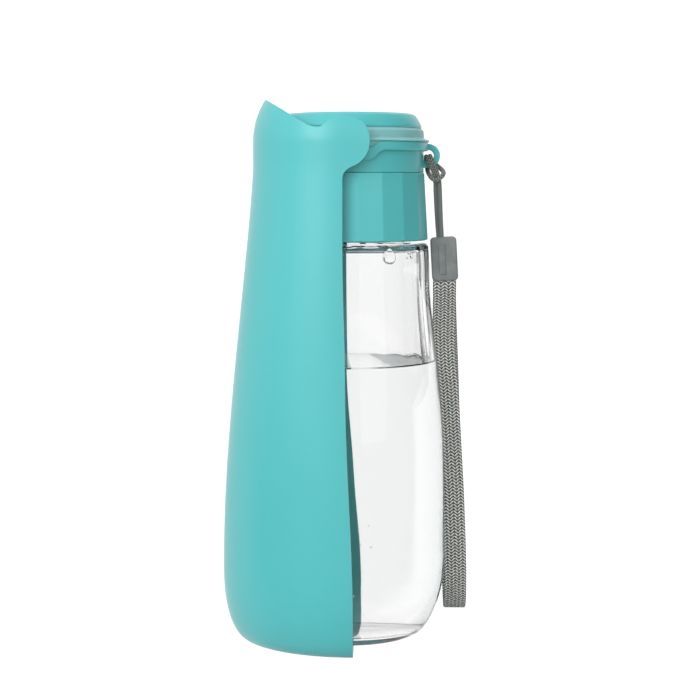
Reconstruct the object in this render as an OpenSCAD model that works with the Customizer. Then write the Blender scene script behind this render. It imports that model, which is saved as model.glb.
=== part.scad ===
// Dog travel water bottle: a clear bottle, a screwed collar, a head with a rotary valve,
// a long drinking trough that folds down over the bottle, and a wrist strap.
// The origin is on the bottle's axis at the floor, +X towards the strap, +Z up, millimetres.

/* [Bottle] */
// Widest outer radius of the bottle, low on its side
bottle_r = 38.2; // [37:0.1:39]
// How far the bottle's shoulder stands out past the head
shoulder_reach = 3.35; // [3:0.05:4]
// Height from the foot to the top of the shoulder
bottle_body_h = 155.8; // [150:0.1:162]
// Thickness of the bottle's side wall
bottle_wall = 3; // [1.6:0.1:3.4]
// Radius of the ring that the bottle would stand on by itself
bottle_foot_r = 28.5; // [26:0.1:30]
// Height of the rounded corner above the foot
bottle_corner_h = 25; // [18:0.5:30]
// How far the base is domed up at its middle
bottle_punt = 3; // [1:0.5:5]
// Radius of the round at the shoulder
shoulder_round = 3.6; // [2:0.1:5]
// How far the neck's outside lies inside the head's outside
neck_in = 4.65; // [4.2:0.05:5.2]
// Thickness of the neck's wall
neck_wall = 2.5; // [2:0.1:3]
// Height of the neck above the shoulder
neck_h = 18.2; // [16:0.1:20]

/* [Thread] */
// Rise of the thread in one turn
thread_pitch = 3; // [2.5:0.1:4]
// How far the thread stands out of the neck
thread_depth = 1.2; // [0.8:0.1:1.3]
// Turns of thread on the neck
thread_turns = 2; // [1:0.5:2.5]
// Radial clearance between the thread and the wall it faces
thread_gap = 0.4; // [0.3:0.05:0.6]

/* [Collar] */
// Height of the collar
collar_h = 26.3; // [24:0.1:28]
// How far the flats stand out past the head, at the collar's foot
collar_foot_reach = 2.2; // [1.6:0.05:2.6]
// How far the flats stand out past the head, at the collar's top
collar_top_reach = 0.65; // [0.4:0.05:1]
// Number of flats round the collar
collar_flats = 20; // [12:1:30]
// Turn of the flats about the axis
collar_flat_turn = -2; // [-9:0.5:9]
// Gap between the bottle's shoulder and the collar's foot
collar_gap = 1.1; // [1:0.1:3]
// Height of the collar's inner lip, which carries the head
collar_lip_h = 4.6; // [3:0.1:6]

/* [Head] */
// Outer radius of the head's body
head_r = 28.65; // [28.2:0.05:29]
// Thickness of the head between its outside and its bore, below the valve deck
head_bore_in = 6.65; // [6.2:0.05:8]
// Thickness of the head's wall above the valve deck
head_wall = 3.25; // [2.8:0.05:3.6]
// Height of the valve deck's top above the head's foot
deck_top_h = 6; // [5:0.1:7]
// Thickness of the valve deck
deck_t = 2.4; // [1.6:0.1:3]
// Height of the flange's underside above the head's foot
flange_h0 = 8.3; // [8:0.1:9.4]
// Height of the flange
flange_t = 3.4; // [2.5:0.1:4]
// How far the flange stands out past the head
flange_reach = 2.15; // [1.4:0.05:2.3]
// Height of the seal's band, from the flange to the cap
band_h = 5.4; // [4:0.1:6]
// Depth of the groove that the band sits in
band_groove = 1.25; // [0.8:0.05:1.5]
// Height of the cap above the band
cap_h = 5.7; // [4.5:0.1:6]
// How far the cap's flat rim lies inside the head's outside
cap_rim_in = 4.65; // [3.6:0.05:5.2]
// How far the seal's band stands out past the head
band_reach = 0.55; // [0.2:0.05:0.8]
// How far the seal's lip stands out past the head
lip_reach = 2.55; // [2.2:0.05:2.7]
// Thickness of the seal's lip
lip_t = 1.1; // [0.8:0.1:1.5]
// Height of the mouth gasket
gasket_t = 1.6; // [1:0.1:2.2]

/* [Valve] */
// Radius of the valve's port holes
port_r = 3.2; // [2.2:0.1:3.6]
// Distance of each port from the axis
port_at = 7.6; // [6.6:0.1:8]
// Radius of the valve knob's disc
knob_r = 12.4; // [12:0.1:13]
// Thickness of the valve knob's disc
knob_t = 3.9; // [3:0.1:5]
// Height of the knob's finger bar above its disc
knob_bar_h = 9.4; // [6:0.1:10]
// Width of the knob's finger bar
knob_bar_w = 4.6; // [3:0.1:6]
// Radius of the knob's stem
stem_r = 2.5; // [2:0.05:3]
// Thickness of the valve's flat seal
valve_seal_t = 1.5; // [1:0.1:2]

/* [Trough] */
// Thickness of the trough's wall
trough_wall = 2; // [1.6:0.1:2.3]
// Thickness of the trough's end wall, which the bottle stands on
trough_floor_t = 1.8; // [1.4:0.1:1.9]
// Space behind the head, inside the trough
head_space = 7.6; // [6:0.05:9]
// Space behind the bottle, inside the trough near its foot
bottle_space = 10.9; // [8:0.1:15]
// Gap between the seal's lip and the trough's inside, at each ear
lip_gap = 1.6; // [1.4:0.05:2.4]
// Gap between the bottle's side and the trough's inside, near the foot
side_gap = 1.8; // [1.4:0.1:5]
// How far the trough's flat foot reaches back past the bottle's foot
base_reach = 11.4; // [8:0.1:15]
// How far the trough's flat foot reaches past the bottle's foot at each side
base_margin = 1.5; // [0:0.1:6]
// Height of the rounded corner above the trough's foot
trough_corner_h = 30; // [22:0.5:36]
// Place of the trough's free edge along X, at the head
trough_edge_top = -2.3; // [-3:0.01:-1.5]
// Place of the trough's free edge along X, halfway down
trough_edge_mid = -1.27; // [-1.5:0.01:-0.5]
// Place of the trough's free edge along X, at the foot
trough_edge_foot = 1.7; // [0.8:0.05:2.5]
// Height of the notch in the trough's rim above the hinge
notch_h = 5.55; // [4:0.1:7]
// Place of the notch's far end, along X
notch_x = -14.2; // [-16:0.1:-13]
// Slope of the rim from the notch up to the beak, in degrees
rim_slope = 31.4; // [28:0.1:34]
// Height of the beak's blunt tip above the hinge
beak_h = 17.05; // [16:0.05:18]

/* [Hinge] */
// Place of the trough's hinge along X
pivot_x = -1.83; // [-3:0.01:-1]
// Height of the hinge above the head's foot
pivot_h = 11.3; // [11:0.1:12]
// Radius of the round ears at the hinge
ear_r = 9.8; // [9:0.1:10]
// Radius of the hinge pins
pin_r = 2.48; // [2:0.02:3]
// Radial clearance of a pin in the head
pin_gap = 0.07; // [0.03:0.01:0.1]
// Radius of the heads on the hinge pins
pin_head_r = 4.2; // [3.6:0.1:4.6]
// Radius of the bosses on the head round the pins
boss_r = 7.4; // [6:0.1:8]
// Gap between each ear and its boss
ear_gap = 0.3; // [0.2:0.05:0.5]

/* [Strap] */
// Outer radius of the strap lug
lug_r = 4.7; // [4.2:0.1:5]
// Radius of the hole in the strap lug
lug_hole_r = 2.3; // [2.1:0.05:2.5]
// Thickness of the strap lug
lug_t = 3; // [2.4:0.1:3.2]
// How far the lug's hole lies outside the head
lug_reach = 2.15; // [2:0.05:2.5]
// Height of the lug's hole above the head's foot
lug_h = 6.5; // [6:0.1:7]
// Diameter of the strap's cord
cord_d = 1.8; // [1.4:0.1:1.9]
// Width of the woven ribbon
ribbon_w = 9.2; // [8:0.1:9.4]
// Thickness of the woven ribbon
ribbon_t = 1.3; // [0.8:0.1:1.4]
// Width of the clamp that joins the cord and the ribbon
clamp_w = 10.3; // [9.9:0.1:11]
// Height of the clamp
clamp_h = 17.4; // [16:0.1:18]
// Thickness of the clamp
clamp_t = 5.8; // [5:0.1:7]
// Lean of the clamp, in degrees
clamp_lean = 3.2; // [0:0.1:4]

/* [Hidden] */
$fn = 96;
teal = [0.39, 0.74, 0.75];
silicone = [0.55, 0.66, 0.66, 0.8];
clear = [0.88, 0.93, 0.95, 0.4];
grey = [0.43, 0.45, 0.45];
webbing = [0.6, 0.61, 0.59];
steel = [0.75, 0.76, 0.78];

// Small clearances and cuts
face_gap = 0.25;
slide_gap = 0.3;
slip = 0.1;
over = 1;
bite = 0.3;

// Radii and widths, from the head outwards
neck_r = head_r - neck_in;
neck_bore_r = neck_r - neck_wall;
shoulder_r = head_r + shoulder_reach;
collar_foot_r = head_r + collar_foot_reach;
collar_top_r = head_r + collar_top_reach;
head_bore_r = head_r - head_bore_in;
head_pocket_r = head_r - head_wall;
flange_r = head_r + flange_reach;
cap_rim_r = head_r - cap_rim_in;
band_r = head_r + band_reach;
lip_r = head_r + lip_reach;
lug_x = head_r + lug_reach;
trough_top_depth = head_r + head_space + trough_wall;
trough_top_half_w = lip_r + lip_gap + trough_wall;
trough_foot_depth = bottle_r + bottle_space + trough_wall;
trough_foot_half_w = bottle_r + side_gap + trough_wall;
trough_base_depth = bottle_foot_r + base_reach;
trough_base_half_w = bottle_foot_r + base_margin;

// Heights, from the floor up
bottle_z0 = trough_floor_t + 2.2;
shoulder_z = bottle_z0 + bottle_body_h;
rim_z = shoulder_z + neck_h;
gasket_z0 = rim_z + face_gap;
tube_z0 = gasket_z0 + gasket_t;
collar_z0 = shoulder_z + collar_gap;
collar_z1 = collar_z0 + collar_h;
head_z0 = collar_z1 + face_gap;
deck_z1 = head_z0 + deck_top_h;
deck_z0 = deck_z1 - deck_t;
flange_z0 = head_z0 + flange_h0;
flange_z1 = flange_z0 + flange_t;
band_z1 = flange_z1 + band_h;
cap_z1 = band_z1 + cap_h;
pivot_z = head_z0 + pivot_h;
lug_z = head_z0 + lug_h;

// ---------- shared shapes ----------

// A curve through points, eased by a Catmull-Rom spline with n steps between them
function eased(p, n) = [for (i = [0:len(p) - 2]) for (k = [0:n - 1])
  let (a = p[max(i - 1, 0)], b = p[i], c = p[i + 1], d = p[min(i + 2, len(p) - 1)], t = k / n)
  b + 0.5 * t * (c - a + t * (2 * a - 5 * b + 4 * c - d + t * (3 * (b - c) + d - a)))];
function route(p, n) = concat(eased(p, n), [p[len(p) - 1]]);
function unit(v) = v / norm(v);
function along(p, i) = unit(p[min(i + 1, len(p) - 1)] - p[max(i - 1, 0)]);

// A solid swept along points: each ring's corners run clockwise, seen along the route
module skin_rings(rings) {
  n = len(rings[0]);
  m = len(rings);
  polyhedron([for (r = rings) each r], concat(
    [[for (j = [0:n - 1]) j]],
    [for (i = [0:m - 2]) for (j = [0:n - 1]) let (a = i * n + j, b = i * n + (j + 1) % n)
      each [[a, b + n, b], [a, a + n, b + n]]],
    [[for (j = [n - 1:-1:0]) (m - 1) * n + j]]), convexity = 6);
}

// A round tube of radius r along a route, its rings carried on without twist
function carried(p, i) = i == 0 ? unit(cross(along(p, 0), [0.3, 1, 0.2]))
  : let (u = carried(p, i - 1), d = along(p, i)) unit(u - (u * d) * d);
module round_tube(p, r, sides) {
  skin_rings([for (i = [0:len(p) - 1])
    let (d = along(p, i), u = carried(p, i), v = cross(d, u))
    [for (j = [0:sides - 1]) p[i] + r * (cos(360 * j / sides) * u + sin(360 * j / sides) * v)]]);
}

// A helical ridge: r0 at its root, r1 at its crest, starting at height z
thread_steps = 20;
thread_root_w = 1.5;
thread_crest_w = 0.8;
module ridge(r0, r1, z) {
  steps = floor(thread_steps * thread_turns);
  skin_rings([for (i = [0:steps])
    let (a = 360 * i / thread_steps, h = z + thread_pitch * i / thread_steps,
      grow = min(1, i / 3, (steps - i) / 3), r2 = r0 + (r1 - r0) * max(grow, 0.25))
    [for (q = r1 < r0
        ? [[r0, -thread_root_w], [r2, -thread_crest_w], [r2, thread_crest_w], [r0, thread_root_w]]
        : [[r0, thread_root_w], [r2, thread_crest_w], [r2, -thread_crest_w], [r0, -thread_root_w]])
      [q[0] * cos(a), q[0] * sin(a), h + q[1] / 2]]]);
}

// ---------- bottle ----------

side_z0 = bottle_z0 + bottle_corner_h;
side_z1 = shoulder_z - 9.3;
side_steps = 16;
corner_steps = 8;
waist_power = 1.8;
corner_power = 1.5;
function side_r(z) = let (t = max((z - side_z0) / (side_z1 - side_z0), 0))
  bottle_r - (bottle_r - shoulder_r) * (1 - cos(180 * pow(min(t, 1), waist_power))) / 2;
// Points of a corner that is flat at its foot and upright at its top
function corner(r0, z0, r1, z1, power, n) = [for (i = [0:n])
  let (a = 90 * i / n) [r0 + (r1 - r0) * pow(sin(a), 2 / power), z1 - (z1 - z0) * pow(cos(a), 2 / power)]];
function side(inset) = [for (i = [1:side_steps])
  let (z = side_z0 + (side_z1 - side_z0) * i / side_steps) [side_r(z) - inset, z]];
function arc(x, z, r, a0, a1, n) = [for (i = [0:n])
  let (a = a0 + (a1 - a0) * i / n) [x + r * cos(a), z + r * sin(a)]];
shoulder_out = shoulder_r - 0.5;
inner_round = 6;
bottle_floor_t = 3.2;
foot_z = bottle_z0 + 0.2;
neck_fillet = 1.2;
thread_z = shoulder_z + 4.2;

module bottle() {
  color(clear) union() {
    rotate_extrude() polygon(concat(
      [[0, bottle_z0 + bottle_punt], [bottle_foot_r * 0.45, bottle_z0 + bottle_punt * 0.86],
        [bottle_foot_r * 0.78, bottle_z0 + bottle_punt * 0.3], [bottle_foot_r * 0.9, bottle_z0]],
      corner(bottle_foot_r, bottle_z0, bottle_r, side_z0, corner_power, corner_steps),
      side(0),
      arc(shoulder_out - shoulder_round, shoulder_z - shoulder_round, shoulder_round, 0, 90, 6),
      arc(neck_r + neck_fillet, shoulder_z + neck_fillet, neck_fillet, 270, 180, 4),
      [[neck_r, rim_z - 0.4], [neck_r - 0.4, rim_z], [neck_bore_r + 0.4, rim_z],
        [neck_bore_r, rim_z - 0.4]],
      arc(neck_bore_r - 1.5, shoulder_z, 1.5, 0, -60, 3),
      arc(shoulder_r - bottle_wall - inner_round, shoulder_z - bottle_wall - inner_round, inner_round,
        80, 0, 5),
      [for (i = [side_steps - 1:-1:1]) side(bottle_wall)[i]],
      [for (i = [corner_steps:-1:0]) corner(bottle_foot_r - 4, bottle_z0 + bottle_floor_t + 1.6,
        bottle_r - bottle_wall, side_z0 + 1, corner_power, corner_steps)[i]],
      [[0, bottle_z0 + bottle_punt + bottle_floor_t]]));
    ridge(neck_r - bite, neck_r + thread_depth, thread_z);
  }
}

// ---------- collar ----------

collar_bore_r = neck_r + thread_depth + thread_gap;
tube_r = head_bore_r + 3.7;
bead_r = tube_r + 1.5;
bead_z0 = tube_z0 + 0.3;
bead_h = 1.7;
cavity_z0 = tube_z0 - 1.4;
cavity_z1 = collar_z1 - collar_lip_h;
collar_taper = atan((collar_foot_r - collar_top_r) / collar_h);
corner_of_flat = 1 / cos(180 / collar_flats);
collar_foot_cut = 0.8;
flat_soft = 0.08;

chord = cos(180 / thread_steps);

module collar() {
  foot = collar_foot_r * corner_of_flat - flat_soft;
  top = collar_top_r * corner_of_flat - flat_soft;
  color(teal) union() {
    difference() {
      rotate_extrude() polygon([[collar_bore_r, collar_z0], [foot - collar_foot_cut, collar_z0],
        [foot, collar_z0 + collar_foot_cut * 0.7], [top, collar_z1 - 0.4], [top - 0.4, collar_z1],
        [tube_r + slide_gap, collar_z1], [tube_r + slide_gap, cavity_z1],
        [bead_r + slide_gap + slip, cavity_z1], [bead_r + slide_gap + slip, cavity_z0],
        [collar_bore_r, cavity_z0]]);
      for (i = [0:collar_flats - 1])
        rotate(i * 360 / collar_flats + collar_flat_turn)
          translate([collar_foot_r, 0, collar_z0])
            rotate([0, -collar_taper, 0])
              translate([0, -collar_foot_r / 2, -over])
                cube([over * 5, collar_foot_r, collar_h + over * 3]);
    }
    ridge((collar_bore_r + bite) / chord, (neck_r + thread_gap) / chord, thread_z + thread_pitch / 2);
  }
}

// ---------- head ----------

module mouth_gasket() {
  color(silicone) translate([0, 0, gasket_z0]) difference() {
    cylinder(h = gasket_t, r = neck_r + 0.3);
    translate([0, 0, -over]) cylinder(h = gasket_t + 2 * over, r = neck_bore_r + 0.1);
  }
}

groove_r = head_r - band_groove;
boss_y1 = trough_top_half_w - trough_wall - ear_gap * 2;
boss_y0 = head_pocket_r - 0.8;
ring_r = pin_r + 2.1;
ring_depth = 1;
flange_drop = 6;
tail_x0 = pivot_x + 5.83;
tail_x1 = pivot_x + ear_r + 6.63;
flange_top = [[tail_x1 - 1, 0], [tail_x1 - 2.2, 0.2], [tail_x1 - 3.4, 0.75], [tail_x1 - 4.3, 1.45],
  [tail_x1 - 5.6, 2.25], [tail_x0, 2.7]];
flange_foot = [[tail_x0, 4], [tail_x1 - 6.8, 3.95], [tail_x1 - 5.3, 3.45], [tail_x1 - 3.9, 2.15],
  [tail_x1 - 3.2, 1.2], [tail_x1 - 2.2, 0.45], [tail_x1 - 0.6, 0]];

// A solid with the given outline in the XZ plane, from y0 to y1
module across(y0, y1) {
  translate([0, y1, 0]) rotate([90, 0, 0]) linear_extrude(y1 - y0) children();
}
module hinge_bar(r, y0, y1) {
  translate([pivot_x, y1, pivot_z]) rotate([90, 0, 0]) cylinder(h = y1 - y0, r = r);
}

// A part ring about the axis, cut to an outline seen from the side
module side_ring(r0, r1) {
  intersection() {
    translate([0, 0, flange_z0 - flange_drop]) difference() {
      cylinder(h = flange_t + 2 * flange_drop, r = r1);
      translate([0, 0, -over]) cylinder(h = flange_t + 2 * flange_drop + 2 * over, r = r0);
    }
    across(-r1 - over, r1 + over) children();
  }
}
// The flange's ends turn down beside the ears
module flange() {
  side_ring(head_r - over, flange_r) polygon(concat(
    [for (q = flange_top) [q[0], flange_z1 - q[1]]],
    [for (q = flange_foot) [q[0], flange_z0 - q[1]]],
    [[flange_r + over, flange_z0], [flange_r + over, flange_z1]]));
}

// A boss for a hinge pin, cut level below the cap and open for the cap's plug
module boss(y0) {
  difference() {
    intersection() {
      hinge_bar(boss_r, y0, y0 + boss_y1 - boss_y0);
      translate([pivot_x - 2 * boss_r, y0 - over, pivot_z - 2 * boss_r])
        cube([4 * boss_r, boss_y1 - boss_y0 + 2 * over, band_z1 - slip - pivot_z + 2 * boss_r]);
    }
    translate([0, 0, plug_z0 - slip]) cylinder(h = 2 * cap_h, r = head_pocket_r + slip / 2);
  }
}

module head_body() {
  color(teal) difference() {
    union() {
      rotate_extrude() polygon([[head_bore_r, tube_z0], [tube_r, tube_z0], [tube_r, bead_z0],
        [bead_r, bead_z0 + 0.4], [bead_r, bead_z0 + bead_h - 0.4], [tube_r, bead_z0 + bead_h],
        [tube_r, head_z0], [head_r - 0.3, head_z0], [head_r, head_z0 + 0.3], [head_r, flange_z1],
        [groove_r, flange_z1], [groove_r, band_z1], [head_pocket_r, band_z1],
        [head_pocket_r, deck_z1], [0, deck_z1], [0, deck_z0], [head_bore_r, deck_z0]]);
      flange();
      for (y = [boss_y0, -boss_y1]) boss(y);
      across(-lug_t / 2, lug_t / 2) difference() {
        union() {
          translate([lug_x, lug_z]) circle(r = lug_r);
          translate([head_r - 2, lug_z - lug_r]) square([lug_x - head_r + 2, 2 * lug_r]);
        }
        translate([lug_x, lug_z]) circle(r = lug_hole_r);
      }
    }
    translate([0, 0, deck_z0 - over]) cylinder(h = deck_t + 2 * over, r = stem_r + pin_gap);
    for (s = [-1, 1])
      translate([0, s * port_at, deck_z0 - over]) cylinder(h = deck_t + 2 * over, r = port_r);
    hinge_bar(pin_r + pin_gap, -boss_y1 - over, boss_y1 + over);
    for (s = [-1, 1]) hinge_bar(ring_r, s > 0 ? boss_y1 - ring_depth : -boss_y1 - over,
      s > 0 ? boss_y1 + over : -boss_y1 + ring_depth);
  }
}

// The seal is a band round the strap side of the head, with a thin lip above the flange
band_x0 = 2.5;
band_top_r = head_r - 0.55;
dip_r = 30.3;
module trough_seal() {
  color(silicone) difference() {
    union() {
      intersection() {
        rotate_extrude() polygon([[groove_r + 0.02, flange_z1 + 0.02], [lip_r, flange_z1 + 0.1],
          [lip_r, flange_z1 + 0.1 + lip_t * 0.6], [band_r + 0.2, flange_z1 + lip_t + 0.3],
          [band_r, flange_z1 + lip_t + 0.8], [band_r - 0.15, band_z1 - 1],
          [band_top_r, band_z1 - 0.02], [groove_r + 0.02, band_z1 - 0.02]]);
        translate([band_x0, -lip_r - over, flange_z1]) cube([lip_r, 2 * (lip_r + over), band_h]);
      }
      side_ring(head_r + 0.02, dip_r) polygon(concat(
        [for (q = flange_top) [q[0], flange_z1 - q[1] + 0.02]],
        [[tail_x0, flange_z1 + lip_t * 0.4], [tail_x1, flange_z1 + lip_t * 0.4]]));
    }
    hinge_bar(boss_r + slip, -boss_y1 - over, boss_y1 + over);
  }
}

dish_r = cap_rim_r - 2;
cap_floor_t = 1.8;
knob_z0 = deck_z1 + valve_seal_t + slip * 2;
knob_z1 = knob_z0 + knob_t;
dish_z = knob_z1 - 0.3;
hole_r = knob_r + slide_gap;
plug_z0 = band_z1 - 1.1;
module top_cap() {
  color(teal) rotate_extrude() polygon([[hole_r, dish_z - cap_floor_t], [dish_r - 2.6, plug_z0 - 2.6],
    [dish_r + 0.6, plug_z0], [head_pocket_r - slip, plug_z0], [head_pocket_r - slip, band_z1],
    [band_top_r, band_z1], [head_r - 0.35, band_z1 + 0.7], [head_r - 0.75, band_z1 + 1.6],
    [head_r - 1.6, band_z1 + 3.2], [cap_rim_r + 1.9, cap_z1 - 0.75], [cap_rim_r + 0.9, cap_z1 - 0.2],
    [cap_rim_r, cap_z1], [dish_r + 0.5, cap_z1], [dish_r, cap_z1 - 0.5], [dish_r - 1.2, band_z1 - 0.5],
    [hole_r, dish_z]]);
}

module valve_seal() {
  color(silicone) translate([0, 0, deck_z1]) difference() {
    cylinder(h = valve_seal_t, r = knob_r);
    translate([0, 0, -over]) cylinder(h = valve_seal_t + 2 * over, r = stem_r + 0.2);
    for (s = [-1, 1])
      translate([0, s * port_at, -over]) cylinder(h = valve_seal_t + 2 * over, r = port_r);
  }
}

clip_t = 0.7;
clip_z0 = deck_z0 - face_gap - clip_t;
stem_end_z = clip_z0 - 0.8;
stem_neck_r = stem_r - 0.6;
bar_l = 2 * knob_r - 3;
module valve_knob() {
  color(teal) union() {
    difference() {
      union() {
        translate([0, 0, knob_z0]) cylinder(h = knob_t, r = knob_r);
        intersection() {
          translate([-knob_bar_w / 2, -bar_l / 2, knob_z1 - bite])
            cube([knob_bar_w, bar_l, knob_bar_h + bite]);
          translate([0, 0, knob_z0]) cylinder(h = knob_t + knob_bar_h, r1 = knob_r, r2 = knob_r - 1.8);
          translate([-over * 5, 0, knob_z1 + knob_bar_h - 14]) rotate([0, 90, 0])
            cylinder(h = over * 10, r = 14);
        }
      }
      for (s = [-1, 1])
        translate([s * port_at, 0, knob_z0 - over]) cylinder(h = knob_t + 2 * over, r = port_r);
    }
    rotate_extrude() polygon([[0, knob_z0 + bite], [stem_r, knob_z0 + bite],
      [stem_r, clip_z0 + clip_t + slip], [stem_neck_r, clip_z0 + clip_t + slip],
      [stem_neck_r, clip_z0 - slip], [stem_r, clip_z0 - slip], [stem_r - 0.4, stem_end_z],
      [0, stem_end_z]]);
  }
}

module valve_clip() {
  color(steel) translate([0, 0, clip_z0]) difference() {
    cylinder(h = clip_t, r = stem_r + 2.2);
    translate([0, 0, -over]) cylinder(h = clip_t + 2 * over, r = stem_neck_r + 0.04);
    translate([0, -stem_neck_r * 0.8, -over])
      cube([stem_r * 3, stem_neck_r * 1.6, clip_t + 2 * over]);
  }
}

// ---------- trough ----------

// The trough's cross-section is half an ellipse, open towards the strap. Its size follows a
// smooth swell from the head down to the foot, and its top leans in towards the beak.
swell_z1 = pivot_z - 8.7;
swell_z0 = 25;
swell_power = 1.22;
lean_z = pivot_z + 0.4;
lean_depth = 0.0125;
lean_depth_power = 2.12;
lean_width = 0.05;
lean_width_power = 1.68;
edge_bend_z = pivot_z - 88.7;
edge_foot_z = 15;
edge_lean_h = 55;
base_power = 2.3;
trough_top_z = pivot_z + 18.6;
function swell(z) = sin(90 * pow(min(max((swell_z1 - z) / (swell_z1 - swell_z0), 0), 1), swell_power));
function blend(t) = (1 - cos(180 * min(max(t, 0), 1))) / 2;
function edge_x(z) = trough_edge_mid
  + (trough_edge_foot - trough_edge_mid) * blend((edge_bend_z - z) / (edge_bend_z - edge_foot_z))
  + (trough_edge_top - trough_edge_mid) * blend((z - edge_bend_z + 5) / edge_lean_h);
function wall_depth(z) = trough_top_depth + (trough_foot_depth - trough_top_depth) * swell(z)
  + edge_x(z) - lean_depth * pow(max(z - lean_z, 0), lean_depth_power);
function wall_width(z) = trough_top_half_w + (trough_foot_half_w - trough_top_half_w) * swell(z)
  - lean_width * pow(max(z - lean_z, 0), lean_width_power);
base_depth = trough_base_depth + trough_edge_foot;

// Levels of one skin of the trough: [height, depth, half width], set in by the wall
corner_levels = 7;
side_levels = 15;
lean_levels = 6;
function levels(inset, floor_z) = concat(
  [for (i = [0:corner_levels]) let (a = 90 * i / corner_levels,
      g = pow(sin(a), 2 / base_power),
      z = trough_corner_h - (trough_corner_h - floor_z) * pow(cos(a), 2 / base_power),
      b = inset * 0.5)
    [z, base_depth - b + (wall_depth(z) - inset - base_depth + b) * g,
      trough_base_half_w - b + (wall_width(z) - inset - trough_base_half_w + b) * g]],
  [for (i = [1:side_levels]) let (z = trough_corner_h + (lean_z - trough_corner_h) * i / side_levels)
    [z, wall_depth(z) - inset, wall_width(z) - inset]],
  [for (i = [1:lean_levels]) let (z = lean_z + (trough_top_z - lean_z) * i / lean_levels)
    [z, wall_depth(z) - inset, wall_width(z) - inset]]);

section_steps = 28;
function section(l) = [for (j = [0:section_steps]) let (a = -90 + 180 * j / section_steps)
  [edge_x(l[0]) - l[1] * cos(a), l[2] * sin(a), l[0]]];

module trough_shell() {
  out = levels(0, 0);
  in = levels(trough_wall, trough_floor_t);
  n = section_steps + 1;
  m = len(out);
  inner = n * m;
  last = (m - 1) * n;
  polyhedron(
    concat([for (l = out) each section(l)], [for (l = in) each section(l)]),
    concat(
      [for (i = [0:m - 2]) for (j = [0:n - 2]) let (a = i * n + j)
        each [[a, a + n + 1, a + n], [a, a + 1, a + n + 1]]],
      [for (i = [0:m - 2]) for (j = [0:n - 2]) let (a = inner + i * n + j)
        each [[a, a + n, a + n + 1], [a, a + n + 1, a + 1]]],
      [for (i = [0:m - 2]) let (a = i * n, b = inner + i * n)
        each [[a, b + n, b], [a, a + n, b + n]]],
      [for (i = [0:m - 2]) let (a = i * n + n - 1, b = inner + i * n + n - 1)
        each [[a, b, b + n], [a, b + n, a + n]]],
      [for (j = [0:n - 2]) let (a = last + j, b = inner + last + j)
        each [[a, b + 1, b], [a, a + 1, b + 1]]],
      [[for (j = [n - 1:-1:0]) j]],
      [[for (j = [0:n - 1]) inner + j]],
      [[0, inner + n - 1, n - 1], [0, inner, inner + n - 1]]),
    convexity = 8);
}

// The trough seen from the side, up to its rim: the beak's slope, then the notch by the ear
notch_w = 3.6;
beak_z = pivot_z + beak_h;
rim_end_drop = 2;
module rim_side() {
  z = pivot_z + notch_h;
  x = -trough_foot_depth - 10;
  polygon([[x, -over], [x, beak_z], [notch_x - (beak_z - z) / tan(rim_slope), beak_z],
    [notch_x - 1, z + tan(rim_slope)],
    [notch_x + 0.6, z + 0.12], [notch_x + 1.6, z], [notch_x + notch_w, z],
    [notch_x + notch_w + 2, z + 1], [pivot_x - 2, z + 2.2], [pivot_x + 3, z - rim_end_drop],
    [trough_foot_depth, z - rim_end_drop], [trough_foot_depth, -over]]);
}

// The part of the ear past the shell's free edge, with the round below it
ear_flush = 0.02;
ear_edge = 0.15;
ear_overlap = 0.6;
ear_fillet = 5.5;
ear_y1 = trough_top_half_w - ear_flush;
ear_y0 = trough_top_half_w - trough_wall - ear_gap;
module ear(y0, y1) {
  edge = trough_edge_top - ear_edge;
  reach = ear_r + ear_fillet;
  dx = edge + ear_fillet - pivot_x;
  dz = sqrt(reach * reach - dx * dx);
  touch = ear_r / reach;
  union() {
    intersection() {
      hinge_bar(ear_r, y0, y1);
      translate([edge - ear_overlap, y0 - over, pivot_z - reach])
        cube([2 * reach, y1 - y0 + 2 * over, 2 * reach]);
    }
    difference() {
      across(y0, y1) polygon([[edge - ear_overlap, pivot_z - 1], [edge - ear_overlap, pivot_z - dz],
        [pivot_x + dx * touch, pivot_z - dz], [pivot_x + dx * touch, pivot_z - dz * touch],
        [pivot_x + 2, pivot_z - 1]]);
      translate([pivot_x + dx, y1 + over, pivot_z - dz]) rotate([90, 0, 0])
        cylinder(h = y1 - y0 + 2 * over, r = ear_fillet);
    }
  }
}

socket_t = 0.7;
pad_r = ear_r - 1;
recess_r = ear_r - 1;
module trough() {
  w = trough_foot_half_w + over;
  color(teal) difference() {
    union() {
      intersection() {
        trough_shell();
        union() {
          across(-w, w) rim_side();
          hinge_bar(ear_r, -w, w);
        }
      }
      ear(ear_y0, ear_y1);
      ear(-ear_y1, -ear_y0);
      hinge_bar(pad_r, ear_y0, ear_y0 + trough_wall / 2);
      hinge_bar(pad_r, -ear_y0 - trough_wall / 2, -ear_y0);
    }
    hinge_bar(recess_r, -ear_y0, ear_y0);
    hinge_bar(pin_r, ear_y0 - over, ear_y1 - socket_t);
    hinge_bar(pin_r, -ear_y1 + socket_t, -ear_y0 + over);
  }
}

pin_head_t = 1.1;
pin_press = 0.01;
module pivot_pin(side) {
  y1 = ear_y1 - socket_t - slip;
  head_y1 = boss_y0 - face_gap;
  color(steel) mirror([0, side < 0 ? 1 : 0, 0]) union() {
    hinge_bar(pin_r - pin_press, head_y1 - bite, y1);
    hinge_bar(pin_head_r, head_y1 - pin_head_t, head_y1);
  }
}
module pivot_ring(side) {
  color(silicone) mirror([0, side < 0 ? 1 : 0, 0]) difference() {
    hinge_bar(ring_r - slip / 2, boss_y1 - ring_depth, boss_y1 + ear_gap / 3);
    hinge_bar(pin_r + slip, boss_y1 - ring_depth - over, boss_y1 + over);
  }
}

// ---------- strap ----------

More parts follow.
